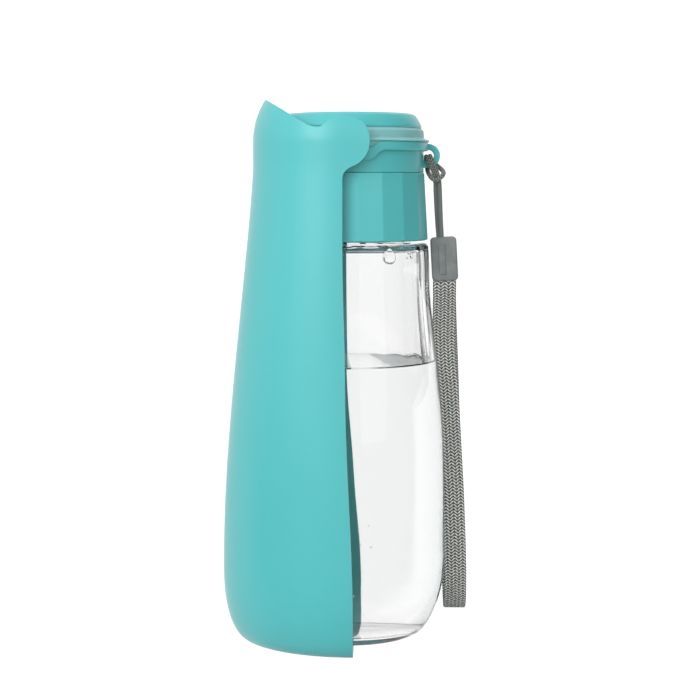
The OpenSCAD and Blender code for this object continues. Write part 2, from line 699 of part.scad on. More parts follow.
// The strap's points are given for its usual lug and bottle, and follow them if they change
usual_lug = [30.8, 0, 193.95];
usual_bottle_r = 38.2;
ribbon_top_z = 150;
ribbon_blend_h = 30;
module strap_place() {
  translate([lug_x, 0, lug_z] - usual_lug) children();
}

// Where the cord runs: out of the clamp, through the lug, back as a cow hitch and down again
cord_points = [[35.4, 0.5, 157], [35.1, 0.45, 162], [34.6, 0.2, 168], [34.2, -0.35, 174],
  [33.85, -1, 180], [33.7, -1.4, 184], [32.8, -2.3, 188], [31.3, -2.8, 190.6], [30.5, -2, 192.9],
  [30.1, 0, 193.7], [30.1, 2, 193], [30.4, 2.9, 190.8], [30.7, 2.4, 188.4], [31, 0.5, 187.2],
  [31.3, -2, 186.6], [32.1, -3.8, 185.3], [33.9, -4.3, 184.4], [35.8, -3.7, 185.6], [36.9, -1.7, 187],
  [36.6, 0.8, 188.2], [35.2, 2.6, 189.6], [33.4, 2.9, 191.2], [31.9, 2, 193.2],
  [31.6, 0, 193.9], [31.9, -2, 193.1], [32.9, -2.8, 190.8], [34.1, -2.5, 188],
  [35.15, -2.4, 184], [35.45, -2.15, 180], [35.7, -1.6, 174], [36, -1.15, 168], [36.35, -0.95, 162],
  [36.5, -0.95, 157]];
cord_sides = 8;
module strap_cord() {
  color(grey) strap_place() round_tube(route(cord_points, 2), cord_d / 2, cord_sides);
}

// Where the ribbon runs: down from the clamp, round at the bottom and up again
ribbon_points = [[37.5, -0.75, 150], [37.5, -0.75, 147], [37.6, -0.6, 144.3], [37.6, 0.2, 141.8],
  [37.7, 1.8, 139], [37.8, 6.2, 131],
  [37.9, 10.2, 121], [38.4, 12.4, 111], [39.5, 12.9, 99], [40.3, 12.8, 86], [41.1, 12.2, 72],
  [41.9, 11.4, 58], [42.5, 10.8, 44], [43, 11.2, 31], [43.3, 13.4, 20], [43.5, 18.4, 10],
  [43.5, 25.4, 5.8], [43.5, 32.6, 9.4], [43.3, 37.2, 18.4], [43, 39, 31], [42.5, 38.4, 46],
  [41.9, 35.8, 63], [41.2, 31.6, 80], [40.4, 26.2, 97], [39.5, 20.2, 113], [38.6, 13.8, 127],
  [38, 8, 136.6], [37.8, 4.2, 140], [37.7, 1.8, 142.2], [37.6, 0.8, 144.5], [37.5, 0.75, 147],
  [37.5, 0.75, 150]];
module strap_ribbon() {
  p = route([for (q = ribbon_points)
    q + [(bottle_r - usual_bottle_r) * min(1, (ribbon_top_z - q[2]) / ribbon_blend_h), 0, 0]], 2);
  color(webbing) strap_place() skin_rings([for (i = [0:len(p) - 1])
    let (d = along(p, i), w = unit([1, 0, 0] - d[0] * d) * ribbon_w / 2,
      t = unit(cross(d, [1, 0, 0])) * ribbon_t / 2)
    [p[i] - w - t, p[i] + w - t, p[i] + w + t, p[i] - w + t]]);
}

// The clamp is two moulded halves that grip the cord's ends and the ribbon's ends
clamp_x = 37.4;
slot_w = ribbon_w + 0.4;
slot_x = clamp_x - 4.55;
cord_slot = [3.5, 3.5, 8];
cord_slot_at = [34, -1.95, 156];
clamp_z0 = 144.7;
clamp_corner = 1.6;
clamp_panel = [2.7, 12.2];
clamp_panel_x = -0.9;
module clamp_place() {
  translate([clamp_x, 0, clamp_z0 + clamp_h / 2]) rotate([0, -clamp_lean, 0]) children();
}
module clamp_side() {
  c = clamp_corner;
  w = clamp_w / 2 - c;
  h = clamp_h / 2 - c;
  union() {
    square([2 * w, clamp_h], center = true);
    square([clamp_w, 2 * h], center = true);
    for (x = [-w, w]) for (z = [-h, h]) translate([x, z]) circle(r = c);
  }
}
module clamp_half(side) {
  difference() {
    clamp_place() difference() {
      across(side < 0 ? -clamp_t / 2 : slip / 2, side < 0 ? -slip / 2 : clamp_t / 2) clamp_side();
      if (side < 0)
        translate([clamp_panel_x - clamp_panel[0] / 2, -clamp_t / 2 - over, -clamp_panel[1] / 2])
          cube([clamp_panel[0], over + 0.5, clamp_panel[1]]);
    }
    translate([slot_x, -ribbon_t - slip * 3, clamp_z0 - over])
      cube([slot_w, 2 * (ribbon_t + slip * 3), 6.6 + over]);
    translate(cord_slot_at) cube(cord_slot);
  }
}
module clamp_front() {
  color(grey) strap_place() clamp_half(-1);
}
module clamp_back() {
  color(grey) strap_place() clamp_half(1);
}

bottle();
mouth_gasket();
collar();
head_body();
trough_seal();
top_cap();
valve_seal();
valve_knob();
valve_clip();
trough();
pivot_pin(-1);  // pivot_pin_near
pivot_pin(1);  // pivot_pin_far
pivot_ring(-1);  // pivot_ring_near
pivot_ring(1);  // pivot_ring_far
strap_cord();
clamp_front();
clamp_back();
strap_ribbon();
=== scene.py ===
"""Dog travel water bottle: the looks of its clear bottle, screwed collar, head, trough and strap.

Every length in the sub-assembly classes is in millimetres, as on a drawing, and becomes metres
where a mesh is made. The frame is the object's own: Z up along the bottle, X towards the strap.
"""

import logging
import math
import random
from collections.abc import Callable, Iterable, Sequence
from dataclasses import dataclass, field
from enum import Enum

import bmesh
import bpy
from mathutils import Matrix, Vector

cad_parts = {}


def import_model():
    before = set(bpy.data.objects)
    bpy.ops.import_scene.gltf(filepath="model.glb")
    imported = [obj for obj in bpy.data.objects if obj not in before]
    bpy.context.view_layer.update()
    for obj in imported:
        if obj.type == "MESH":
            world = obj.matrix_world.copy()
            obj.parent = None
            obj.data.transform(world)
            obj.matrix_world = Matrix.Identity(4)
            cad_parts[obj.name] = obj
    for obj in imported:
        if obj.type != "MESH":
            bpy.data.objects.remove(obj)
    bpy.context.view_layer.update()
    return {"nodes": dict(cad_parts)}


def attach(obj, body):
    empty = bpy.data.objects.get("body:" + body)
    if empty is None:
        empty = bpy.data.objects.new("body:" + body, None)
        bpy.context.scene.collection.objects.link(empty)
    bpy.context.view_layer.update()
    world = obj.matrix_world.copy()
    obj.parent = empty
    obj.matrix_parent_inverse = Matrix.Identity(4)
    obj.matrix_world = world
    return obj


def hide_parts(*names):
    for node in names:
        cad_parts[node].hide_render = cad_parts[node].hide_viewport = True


Object = bpy.types.Object
Material = bpy.types.Material
Node = bpy.types.Node
Socket = bpy.types.NodeSocket
Point2 = tuple[float, float]
Point3 = tuple[float, float, float]

log = logging.getLogger("travel_bottle")

MM = 0.001
TAU = 2 * math.pi


class Body(Enum):
    """The moving bodies that a piece can ride on."""

    BOTTLE = "bottle"
    HEAD = "head"
    COLLAR = "collar"
    VALVE = "valve"
    TROUGH = "trough"
    STRAP = "strap"


class Slot(Enum):
    """The material slots, one for each kind of finish of the new pieces."""

    CLEAR = "clear_plastic"
    TEAL = "teal_plastic"
    SILICONE = "silicone"
    CORD = "cord"
    GREY = "grey_plastic"
    WEBBING = "webbing"


# ---------- finishes ----------


def linear(code: str) -> tuple[float, float, float, float]:
    """Turn an sRGB hex colour into the linear colour that a shader takes.

    Args:
        code: six hex digits, such as "66C4C4".

    Returns:
        Linear red, green, blue and an alpha of 1.
    """
    parts = [int(code[i:i + 2], 16) / 255 for i in (0, 2, 4)]
    red, green, blue = [c / 12.92 if c <= 0.04045 else ((c + 0.055) / 1.055) ** 2.4 for c in parts]
    return (red, green, blue, 1.0)


def add(material: Material | bpy.types.World, kind: str, inputs: dict | None = None, **settings) -> Node:
    """Add a shader node, set it up and link it.

    Args:
        material: the material or world whose tree takes the node.
        kind: the node's type, such as "ShaderNodeTexNoise".
        inputs: socket name or number to a value, to an output socket to link, or to a node whose
            first output is linked.
        **settings: attributes of the node.

    Returns:
        The new node.
    """
    tree = material.node_tree
    node = tree.nodes.new(kind)
    for name, value in settings.items():
        setattr(node, name, value)
    for name, value in (inputs or {}).items():
        if isinstance(value, Node):
            value = value.outputs[0]
        if isinstance(value, Socket):
            tree.links.new(value, node.inputs[name])
        else:
            node.inputs[name].default_value = value
    return node


def emptied(owner: Material | bpy.types.World) -> Material | bpy.types.World:
    """Give a new material or world an empty node tree, and return it."""
    owner.use_nodes = True
    owner.node_tree.nodes.clear()
    return owner


@dataclass(frozen=True)
class Finish:
    """What every finish shares: a name and an empty material to fill."""

    name: str

    def blank(self) -> Material:
        """Return a new material with an empty node tree."""
        return emptied(bpy.data.materials.new(self.name))

    def place(self, material: Material) -> Socket:
        """Return the socket of the piece's own coordinates, in metres."""
        return add(material, "ShaderNodeTexCoord").outputs["Object"]

    def close(self, material: Material, shader: Node) -> Material:
        """Link a shader to the material's output and return the material."""
        add(material, "ShaderNodeOutputMaterial", {"Surface": shader})
        return material

    def make(self) -> Material:
        """Build the material."""
        raise NotImplementedError


@dataclass(frozen=True)
class SatinPolypropylene(Finish):
    """Polypropylene moulded in a fine satin-etched tool.

    The etch gives a soft, broad gloss. The plastic is a little translucent, so edges glow, and its
    pigment is very slightly cloudy along the flow of the melt.
    """

    colour: str = "5FCACB"
    cloud: str = "5AC4C6"
    roughness: float = 0.31
    etch_mm: float = 0.35

    def make(self) -> Material:
        """Build the moulded plastic."""
        material = self.blank()
        place = self.place(material)
        # the melt flows up the wall, so the clouds are stretched along it
        flow = add(material, "ShaderNodeMapping", {"Vector": place, "Scale": (1.0, 1.0, 0.3)})
        clouds = add(material, "ShaderNodeTexNoise", {"Vector": flow, "Scale": 45.0, "Detail": 3.0})
        tint = add(material, "ShaderNodeMix", {0: clouds, 6: linear(self.colour),
                                               7: linear(self.cloud)}, data_type="RGBA")
        # the real etch is about 0.05 mm, drawn coarser so that it shows
        etch = add(material, "ShaderNodeTexNoise", {"Vector": place, "Scale": 1 / (self.etch_mm * MM),
                                                    "Detail": 2.0})
        bump = add(material, "ShaderNodeBump", {"Height": etch, "Strength": 0.06, "Distance": 0.00005})
        handled = add(material, "ShaderNodeTexNoise", {"Vector": place, "Scale": 22.0, "Detail": 4.0})
        gloss = add(material, "ShaderNodeMapRange", {
            "Value": handled, "From Min": 0.3, "From Max": 0.7,
            "To Min": self.roughness - 0.03, "To Max": self.roughness + 0.04})
        shader = add(material, "ShaderNodeBsdfPrincipled", {
            "Base Color": tint.outputs[2], "Roughness": gloss, "Normal": bump,
            "IOR": 1.49, "Subsurface Weight": 0.12, "Subsurface Radius": (0.6, 1.0, 1.0),
            "Subsurface Scale": 0.0015})
        return self.close(material, shader)


@dataclass(frozen=True)
class ClearBody(Finish):
    """What light goes through without loss: a smooth skin with a faint, long ripple."""

    ior: float
    ripple_mm: float
    ripple_shown: float
    ripple_deep_mm: float = 0.1
    ripple_detail: float = 0.0
    drawn: float = 1.0
    colour: str = "FFFFFF"

    def make(self) -> Material:
        """Build the clear material."""
        material = self.blank()
        drawn = add(material, "ShaderNodeMapping",
                    {"Vector": self.place(material), "Scale": (1.0, 1.0, self.drawn)})
        ripple = add(material, "ShaderNodeTexNoise", {"Vector": drawn, "Scale": 1 / (self.ripple_mm * MM),
                                                      "Detail": self.ripple_detail})
        bump = add(material, "ShaderNodeBump", {"Height": ripple, "Strength": self.ripple_shown,
                                                "Distance": self.ripple_deep_mm * MM})
        shader = add(material, "ShaderNodeBsdfPrincipled", {
            "Base Color": linear(self.colour), "Roughness": 0.0, "Normal": bump, "IOR": self.ior,
            "Transmission Weight": 1.0})
        return self.close(material, shader)


@dataclass(frozen=True)
class ClearCopolyester(ClearBody):
    """Clear copolyester, blown in a polished mould.

    It is as clear as glass. The blowing draws it up the wall, so its ripple is long, and shows as a
    slight waver in what is seen through it.
    """

    ior: float = 1.56
    ripple_mm: float = 14.0
    ripple_deep_mm: float = 0.4
    ripple_shown: float = 0.25
    ripple_detail: float = 1.0
    drawn: float = 0.22


@dataclass(frozen=True)
class StillWater(ClearBody):
    """Clean drinking water at rest, with next to no colour of its own over a few centimetres."""

    ior: float = 1.333
    ripple_mm: float = 9.0
    ripple_shown: float = 0.04


@dataclass(frozen=True)
class TrappedAir(Finish):
    """The skin of a small bubble that clings to the wall, which makes it bright and ringed."""

    def make(self) -> Material:
        """Build the bubble's skin."""
        material = self.blank()
        mottle = add(material, "ShaderNodeTexNoise", {"Vector": self.place(material), "Scale": 400.0})
        rough = add(material, "ShaderNodeMapRange", {"Value": mottle, "To Min": 0.0, "To Max": 0.03})
        shader = add(material, "ShaderNodeBsdfPrincipled", {
            "Base Color": linear("FFFFFF"), "Roughness": rough, "IOR": 1.33, "Transmission Weight": 1.0})
        return self.close(material, shader)


@dataclass(frozen=True)
class CastSilicone(Finish):
    """Translucent grey silicone rubber, moulded matt.

    Light goes a few millimetres into it, so it looks milky and soft beside the hard plastic.
    """

    colour: str = "98D2D4"
    haze: str = "8CC8CA"
    roughness: float = 0.42

    def make(self) -> Material:
        """Build the silicone."""
        material = self.blank()
        place = self.place(material)
        haze = add(material, "ShaderNodeTexNoise", {"Vector": place, "Scale": 160.0, "Detail": 3.0})
        tint = add(material, "ShaderNodeMix", {0: haze, 6: linear(self.colour),
                                               7: linear(self.haze)}, data_type="RGBA")
        skin = add(material, "ShaderNodeTexNoise", {"Vector": place, "Scale": 3000.0, "Detail": 2.0})
        bump = add(material, "ShaderNodeBump", {"Height": skin, "Strength": 0.12, "Distance": 0.00005})
        shader = add(material, "ShaderNodeBsdfPrincipled", {
            "Base Color": tint.outputs[2], "Roughness": self.roughness, "Normal": bump,
            "IOR": 1.41, "Subsurface Weight": 0.55, "Subsurface Radius": (1.0, 1.0, 1.0),
            "Subsurface Scale": 0.0022})
        return self.close(material, shader)


@dataclass(frozen=True)
class SoftTouchPlastic(Finish):
    """Grey polyamide moulded in a spark-eroded tool: dull, with an even pebble and a few paler rubs."""

    colour: str = "7E8483"
    rubbed: str = "8F9491"
    grain_mm: float = 0.4

    def make(self) -> Material:
        """Build the clamp's plastic."""
        material = self.blank()
        place = self.place(material)
        wear = add(material, "ShaderNodeTexNoise", {"Vector": place, "Scale": 220.0, "Detail": 4.0})
        spots = add(material, "ShaderNodeMapRange", {"Value": wear, "From Min": 0.45, "From Max": 0.75})
        tint = add(material, "ShaderNodeMix", {0: spots, 6: linear(self.colour),
                                               7: linear(self.rubbed)}, data_type="RGBA")
        pebble = add(material, "ShaderNodeTexVoronoi", {"Vector": place, "Scale": 1 / (self.grain_mm * MM)})
        bump = add(material, "ShaderNodeBump",
                   {"Height": pebble.outputs["Distance"], "Strength": 0.2, "Distance": 0.00005})
        shader = add(material, "ShaderNodeBsdfPrincipled", {
            "Base Color": tint.outputs[2], "Roughness": 0.48, "Normal": bump, "IOR": 1.5})
        return self.close(material, shader)


@dataclass(frozen=True)
class PlainStainless(Finish):
    """Drawn stainless wire and stamped stainless sheet: even grey with fine lines from the die."""

    colour: str = "C3C3C1"

    def make(self) -> Material:
        """Build the steel."""
        material = self.blank()
        lines = add(material, "ShaderNodeMapping", {"Vector": self.place(material), "Scale": (1.0, 9.0, 1.0)})
        drawn = add(material, "ShaderNodeTexNoise", {"Vector": lines, "Scale": 900.0, "Detail": 3.0})
        rough = add(material, "ShaderNodeMapRange", {"Value": drawn, "To Min": 0.22, "To Max": 0.4})
        bump = add(material, "ShaderNodeBump", {"Height": drawn, "Strength": 0.08, "Distance": 0.00005})
        shader = add(material, "ShaderNodeBsdfPrincipled", {
            "Base Color": linear(self.colour), "Metallic": 1.0, "Roughness": rough, "Normal": bump})
        return self.close(material, shader)


@dataclass(frozen=True)
class Woven(Finish):
    """Yarns laid in slanted rows. The UV map is in millimetres: across in U, along in V."""

    light: str = "FAF8F1"
    dark: str = "5A605E"
    row_mm: float = 1.32
    column_mm: float = 1.55
    slant: float = 0.95
    yarn: float = 0.28
    depth_mm: float = 0.2

    def rows(self, material: Material) -> Socket:
        """Lay the rows, and return the height of the yarns."""
        uv = add(material, "ShaderNodeSeparateXYZ", {0: add(material, "ShaderNodeTexCoord").outputs["UV"]})
        across, along = uv.outputs[0], uv.outputs[1]
        zigzag = add(material, "ShaderNodeMath", {0: across, 1: self.column_mm}, operation="PINGPONG")
        lean = add(material, "ShaderNodeMath",
                   {0: zigzag, 1: self.slant / self.column_mm}, operation="MULTIPLY")
        row = add(material, "ShaderNodeMath", {0: along, 1: self.row_mm}, operation="DIVIDE")
        phase = add(material, "ShaderNodeMath", {0: row, 1: lean}, operation="ADD")
        turn = add(material, "ShaderNodeMath", {0: phase, 1: TAU}, operation="MULTIPLY")
        wave = add(material, "ShaderNodeMath", {0: turn}, operation="SINE")
        bead = add(material, "ShaderNodeMath", {0: across, 1: TAU / self.column_mm}, operation="MULTIPLY")
        beads = add(material, "ShaderNodeMath", {0: bead}, operation="COSINE")
        soft = add(material, "ShaderNodeMath", {0: beads, 1: -0.6}, operation="MULTIPLY")
        height = add(material, "ShaderNodeMath", {0: wave, 1: soft}, operation="ADD")
        return height.outputs[0]

    def make(self) -> Material:
        """Build the woven material."""
        material = self.blank()
        height = self.rows(material)
        shown = add(material, "ShaderNodeMapRange",
                    {"Value": height, "From Min": -0.6 + self.yarn, "From Max": 0.3 + self.yarn},
                    interpolation_type="SMOOTHSTEP")
        yarns = add(material, "ShaderNodeTexNoise",
                    {"Vector": self.place(material), "Scale": 1400.0, "Detail": 3.0})
        shade = add(material, "ShaderNodeMapRange", {"Value": yarns, "To Min": 0.25, "To Max": -0.15})
        mask = add(material, "ShaderNodeMath", {0: shown, 1: shade}, operation="SUBTRACT")
        tint = add(material, "ShaderNodeMix", {0: mask, 6: linear(self.dark), 7: linear(self.light)},
                   data_type="RGBA", clamp_factor=True)
        bump = add(material, "ShaderNodeBump",
                   {"Height": height, "Strength": 0.9, "Distance": self.depth_mm * MM})
        shader = add(material, "ShaderNodeBsdfPrincipled", {
            "Base Color": tint.outputs[2], "Roughness": 0.72, "Normal": bump,
            "Sheen Weight": 0.25, "Sheen Roughness": 0.4})
        return self.close(material, shader)


@dataclass(frozen=True)
class PolyesterWebbing(Woven):
    """Polyester ribbon, woven in herringbone: pale rows on a dark grey ground."""


@dataclass(frozen=True)
class BraidedPolyester(Woven):
    """Polyester cord, braided of eight carriers: short slanted stitches round a soft core."""

    light: str = "ADAEA6"
    dark: str = "4A5150"
    row_mm: float = 1.1
    column_mm: float = 0.71
    slant: float = 0.8
    yarn: float = 0.25
    depth_mm: float = 0.08


@dataclass
class Palette:
    """The finished materials, made once."""

    teal: Material
    clear: Material
    water: Material
    air: Material
    silicone: Material
    grey: Material
    steel: Material
    cord: Material
    webbing: Material

    @classmethod
    def mix(cls) -> "Palette":
        """Make every material."""
        return cls(
            teal=SatinPolypropylene("satin_polypropylene_teal").make(),
            clear=ClearCopolyester("clear_copolyester").make(),
            water=StillWater("still_water").make(),
            air=TrappedAir("trapped_air").make(),
            silicone=CastSilicone("cast_silicone_grey").make(),
            grey=SoftTouchPlastic("spark_eroded_polyamide_grey").make(),
            steel=PlainStainless("plain_stainless").make(),
            cord=BraidedPolyester("braided_polyester_cord").make(),
            webbing=PolyesterWebbing("herringbone_polyester_ribbon").make())


# ---------- the bench: shared ways to shape a piece ----------


def fresh() -> None:
    """Leave edit mode and deselect everything."""
    if bpy.context.object and bpy.context.object.mode != "OBJECT":
        bpy.ops.object.mode_set(mode="OBJECT")
    bpy.ops.object.select_all(action="DESELECT")


def primitive(name: str, shape: str, **settings) -> Object:
    """Add a primitive with nothing else selected.

    Args:
        name: the piece's name.
        shape: the primitive, such as "cube".
        **settings: what its operator takes.

    Returns:
        The new piece.
    """
    fresh()
    getattr(bpy.ops.mesh, f"primitive_{shape}_add")(**settings)
    piece = bpy.context.object
    piece.name = name
    piece.data.name = name
    return piece


def choose(piece: Object) -> None:
    """Select one piece and make it active."""
    fresh()
    piece.select_set(True)
    bpy.context.view_layer.objects.active = piece


def edit(piece: Object, select: bool = True) -> None:
    """Go into edit mode on a piece, with all of it or none of it selected."""
    choose(piece)
    bpy.ops.object.mode_set(mode="EDIT")
    bpy.ops.mesh.select_all(action="SELECT" if select else "DESELECT")


def leave() -> None:
    """Go back to object mode."""
    bpy.ops.object.mode_set(mode="OBJECT")


def knit(piece: Object, gap: float = 0.002, fill: bool = False) -> Object:
    """Merge doubles, close holes if asked, and turn every face outwards.

    Args:
        piece: the mesh to knit.
        gap: points closer than this become one, in millimetres.
        fill: whether open ends are closed.

    Returns:
        The same piece.
    """
    edit(piece)
    bpy.ops.mesh.remove_doubles(threshold=gap * MM)
    bpy.ops.mesh.dissolve_degenerate(threshold=gap * MM * 0.1)
    bpy.ops.mesh.delete_loose()
    if fill:
        bpy.ops.mesh.select_all(action="SELECT")
        bpy.ops.mesh.fill_holes(sides=0)
    face_outwards()
    return piece


def face_outwards() -> None:
    """Turn every face of the piece in edit mode outwards, and leave edit mode."""
    bpy.ops.mesh.select_all(action="SELECT")
    bpy.ops.mesh.normals_make_consistent(inside=False)
    leave()


def pull(piece: Object, move: Point3, gap: float) -> None:
    """Pull a flat sheet into a solid.

    Args:
        piece: the sheet, all of which is pulled.
        move: how far, in millimetres.
        gap: points closer than this become one first.
    """
    edit(piece)
    bpy.ops.mesh.remove_doubles(threshold=gap * MM)
    bpy.ops.mesh.extrude_region_move(TRANSFORM_OT_translate={"value": [d * MM for d in move]})
    face_outwards()


def halve(piece: Object, at: Point3, facing: Point3) -> None:
    """Cut away what lies beyond a plane and close the cut.

    Args:
        piece: the piece to cut.
        at: a point of the plane, in millimetres.
        facing: the direction in which the piece is cut away.
    """
    edit(piece)
    bpy.ops.mesh.bisect(plane_co=[d * MM for d in at], plane_no=facing, use_fill=True, clear_outer=True)
    leave()


def bevel_edges(piece: Object, wanted: Callable[[bmesh.types.BMEdge], bool], width: float,
                segments: int = 3, clamp: bool = True) -> None:
    """Round the edges that a test picks.

    Args:
        piece: the mesh.
        wanted: the test, given each edge.
        width: the width of the round, in millimetres.
        segments: how many faces make the round.
        clamp: whether the width gives way to short neighbours.
    """
    edit(piece, select=False)
    mesh = bmesh.from_edit_mesh(piece.data)
    for edge in mesh.edges:
        edge.select_set(wanted(edge))
    bmesh.update_edit_mesh(piece.data)
    bpy.ops.mesh.bevel(offset=width * MM, segments=segments, profile=0.5, affect="EDGES", clamp_overlap=clamp)
    leave()


def sharp(limit: float = 40.0) -> Callable[[bmesh.types.BMEdge], bool]:
    """Return a test for edges whose faces meet at more than a limit, in degrees."""
    def test(edge: bmesh.types.BMEdge) -> bool:
        """Tell whether the edge is sharp."""
        return len(edge.link_faces) == 2 and edge.calc_face_angle(0.0) > math.radians(limit)
    return test


def modify(piece: Object, kind: str, **settings) -> None:
    """Add a modifier, set it up and apply it."""
    choose(piece)
    modifier = piece.modifiers.new(kind.lower(), kind)
    for name, value in settings.items():
        setattr(modifier, name, value)
    bpy.ops.object.modifier_apply(modifier=modifier.name)


def cut(piece: Object, tool: Object, operation: str = "DIFFERENCE") -> Object:
    """Cut a piece with a tool, or join or keep what they share, and throw the tool away."""
    modify(piece, "BOOLEAN", operation=operation, object=tool, solver="EXACT")
    bpy.data.objects.remove(tool)
    return piece


def join(piece: Object, *others: Object) -> Object:
    """Make several meshes one piece."""
    fresh()
    for other in others:
        other.select_set(True)
    piece.select_set(True)
    bpy.context.view_layer.objects.active = piece
    bpy.ops.object.join()
    return piece


def drill(piece: Object, at: Point3, radius: float) -> None:
    """Drill an upright hole through a thin wall, at a point in its middle."""
    tool = primitive("port_drill", "cylinder", vertices=48, radius=radius * MM, depth=8 * MM)
    cut(piece, place(tool, Matrix.Translation(at)))


def block(name: str, size: Point3, at: Point3 = (0.0, 0.0, 0.0)) -> Object:
    """Return a block of a size, centred on a point."""
    return place(primitive(name, "cube", size=MM), Matrix.Translation(at) @ Matrix.Diagonal((*size, 1)))


def place(piece: Object, matrix: Matrix) -> Object:
    """Move a piece's mesh by a matrix in millimetres, and leave its object at the origin."""
    scale = Matrix.Scale(MM, 4)
    piece.data.transform(scale @ matrix @ scale.inverted())
    if matrix.determinant() < 0:
        piece.data.flip_normals()
    return piece


def smooth(piece: Object, angle: float = 32.0) -> Object:
    """Shade a piece smooth, but for edges sharper than an angle in degrees."""
    choose(piece)
    bpy.ops.object.shade_smooth_by_angle(angle=math.radians(angle))
    return piece


def clip(share: float) -> float:
    """Keep a share from 0 to 1."""
    return min(max(share, 0), 1)


def swing(share: float) -> float:
    """Ease a share in and out along half a turn of a cosine."""
    return (1 - math.cos(math.pi * clip(share))) / 2


def along(points: Sequence[Point2], x: float) -> float:
    """Return the height of a line of points at a place, level beyond both of its ends."""
    if x <= points[0][0]:
        return points[0][1]
    for (x0, z0), (x1, z1) in zip(points, points[1:]):
        if x <= x1:
            return z0 + (z1 - z0) * (x - x0) / (x1 - x0)
    return points[-1][1]


def softened(height: Callable[[float], float], x: float, soft: float) -> float:
    """Return the height of a line at a place, with its corners softened over a width."""
    return sum(height(x + soft * k / 3) for k in range(-3, 4)) / 7


def rounded(outline: Sequence[tuple[float, ...]], steps: int = 4) -> list[Point2]:
    """Round the corners of an outline.

    Args:
        outline: corners of x, y and, where a corner is rounded, its radius.
        steps: how many chords make one round.

    Returns:
        The points of the rounded outline.
    """
    points: list[Point2] = []
    count = len(outline)
    for index, corner in enumerate(outline):
        here = Vector(corner[:2])
        radius = corner[2] if len(corner) > 2 else 0.0
        before = Vector(outline[index - 1][:2]) - here
        after = Vector(outline[(index + 1) % count][:2]) - here
        if radius <= 0 or before.length < 1e-6 or after.length < 1e-6:
            points.append((here.x, here.y))
            continue
        half = before.angle(after) / 2
        reach = min(radius / math.tan(half), before.length * 0.49, after.length * 0.49)
        start = here + before.normalized() * reach
        end = here + after.normalized() * reach
        for step in range(steps + 1):
            t = step / steps
            spot = start * (1 - t) ** 2 + here * 2 * t * (1 - t) + end * t ** 2
            points.append((spot.x, spot.y))
    return points


def lathe(name: str, outline: Sequence[Point2], steps: int = 144, start: float = 0.0,
          sweep: float = 360.0) -> Object:
    """Turn a closed outline about the Z axis.

    Args:
        name: the piece's name.
        outline: closed outline of radius and height, in millimetres.
        steps: how many faces go round.
        start: where the turn starts, in degrees from +X.
        sweep: how far it goes, in degrees.

    Returns:
        The turned piece, closed at its ends where it doesn't go all the way round.
    """
    piece = primitive(name, "circle", vertices=len(outline), radius=1.0)
    angle = math.radians(start)
    for vertex, (radius, height) in zip(piece.data.vertices, outline):
        vertex.co = Vector((radius * math.cos(angle), radius * math.sin(angle), height)) * MM
    edit(piece)
    bpy.ops.mesh.spin(steps=steps, angle=-math.radians(sweep), center=(0, 0, 0), axis=(0, 0, 1))
    leave()
    return knit(piece, gap=0.001, fill=abs(sweep) < 360.0)


def sheet_of(name: str, rows: int, columns: int, spot: Callable[[int, int], Point3],
             along: Sequence[float] | None = None, across: Sequence[float] | None = None) -> Object:
    """Bend a flat grid into a surface.

    Args:
        name: the piece's name.
        rows: how many rows of points the grid has.
        columns: how many points a row has.
        spot: gives the place of a point from its row and column, in millimetres.
        along: the V of each row, in millimetres along the surface.
        across: the U of each column, in millimetres across it.

    Returns:
        The surface, with its points in rows.
    """
    piece = primitive(name, "grid", x_subdivisions=columns - 1, y_subdivisions=rows - 1, size=1.0)
    for vertex in piece.data.vertices:
        row, column = divmod(vertex.index, columns)
        vertex.co = Vector(spot(row, column)) * MM
    if along is not None and across is not None:
        layer = piece.data.uv_layers.active.data
        for loop in piece.data.loops:
            row, column = divmod(loop.vertex_index, columns)
            layer[loop.index].uv = (across[column], along[row])
    return piece


def finish_piece(piece: Object, material: Material, body: Body, slot: Slot, *nodes: str) -> Object:
    """Dress a piece, set what it rides on and name the nodes that it stands for.

    Args:
        piece: the finished mesh.
        material: its finish.
        body: the body it rides on.
        slot: the material slot meant for its finish; not used.
        *nodes: the nodes that it stands for.

    Returns:
        The same piece.
    """
    piece.data.materials.clear()
    piece.data.materials.append(material)
    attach(piece, body.value)
    if nodes:
        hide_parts(*nodes)
    log.info("%s: %d faces, rides on %s", piece.name, len(piece.data.polygons), body.value)
    return piece


def let_light_through(piece: Object) -> Object:
    """Let lamp light and soft light pass a clear piece, so that what is behind it is lit, and return it."""
    piece.visible_shadow = False
    piece.visible_diffuse = False
    return piece


def eased(points: Sequence[Point3], steps: int) -> list[Vector]:
    """Run a smooth curve through points.

    Args:
        points: the points to pass through.
        steps: how many chords go from one to the next.

    Returns:
        The points of the curve.
    """
    spots = [Vector(p) for p in points]
    curve: list[Vector] = []
    last = len(spots) - 1
    for i in range(last):
        a, b, c, d = spots[max(i - 1, 0)], spots[i], spots[i + 1], spots[min(i + 2, last)]
        for k in range(steps):
            t = k / steps
            curve.append(b + 0.5 * t * (c - a + t * (2 * a - 5 * b + 4 * c - d
                                                     + t * (3 * (b - c) + d - a))))
    return curve + [spots[-1]]


def headings(curve: Sequence[Vector]) -> list[Vector]:
    """Return the direction of a curve at each of its points."""
    last = len(curve) - 1
    return [(curve[min(i + 1, last)] - curve[max(i - 1, 0)]).normalized() for i in range(last + 1)]


def run_lengths(curve: Sequence[Vector]) -> list[float]:
    """Return how far along a curve each of its points is."""
    lengths = [0.0]
    for before, after in zip(curve, curve[1:]):
        lengths.append(lengths[-1] + (after - before).length)
    return lengths


# ---------- studio ----------


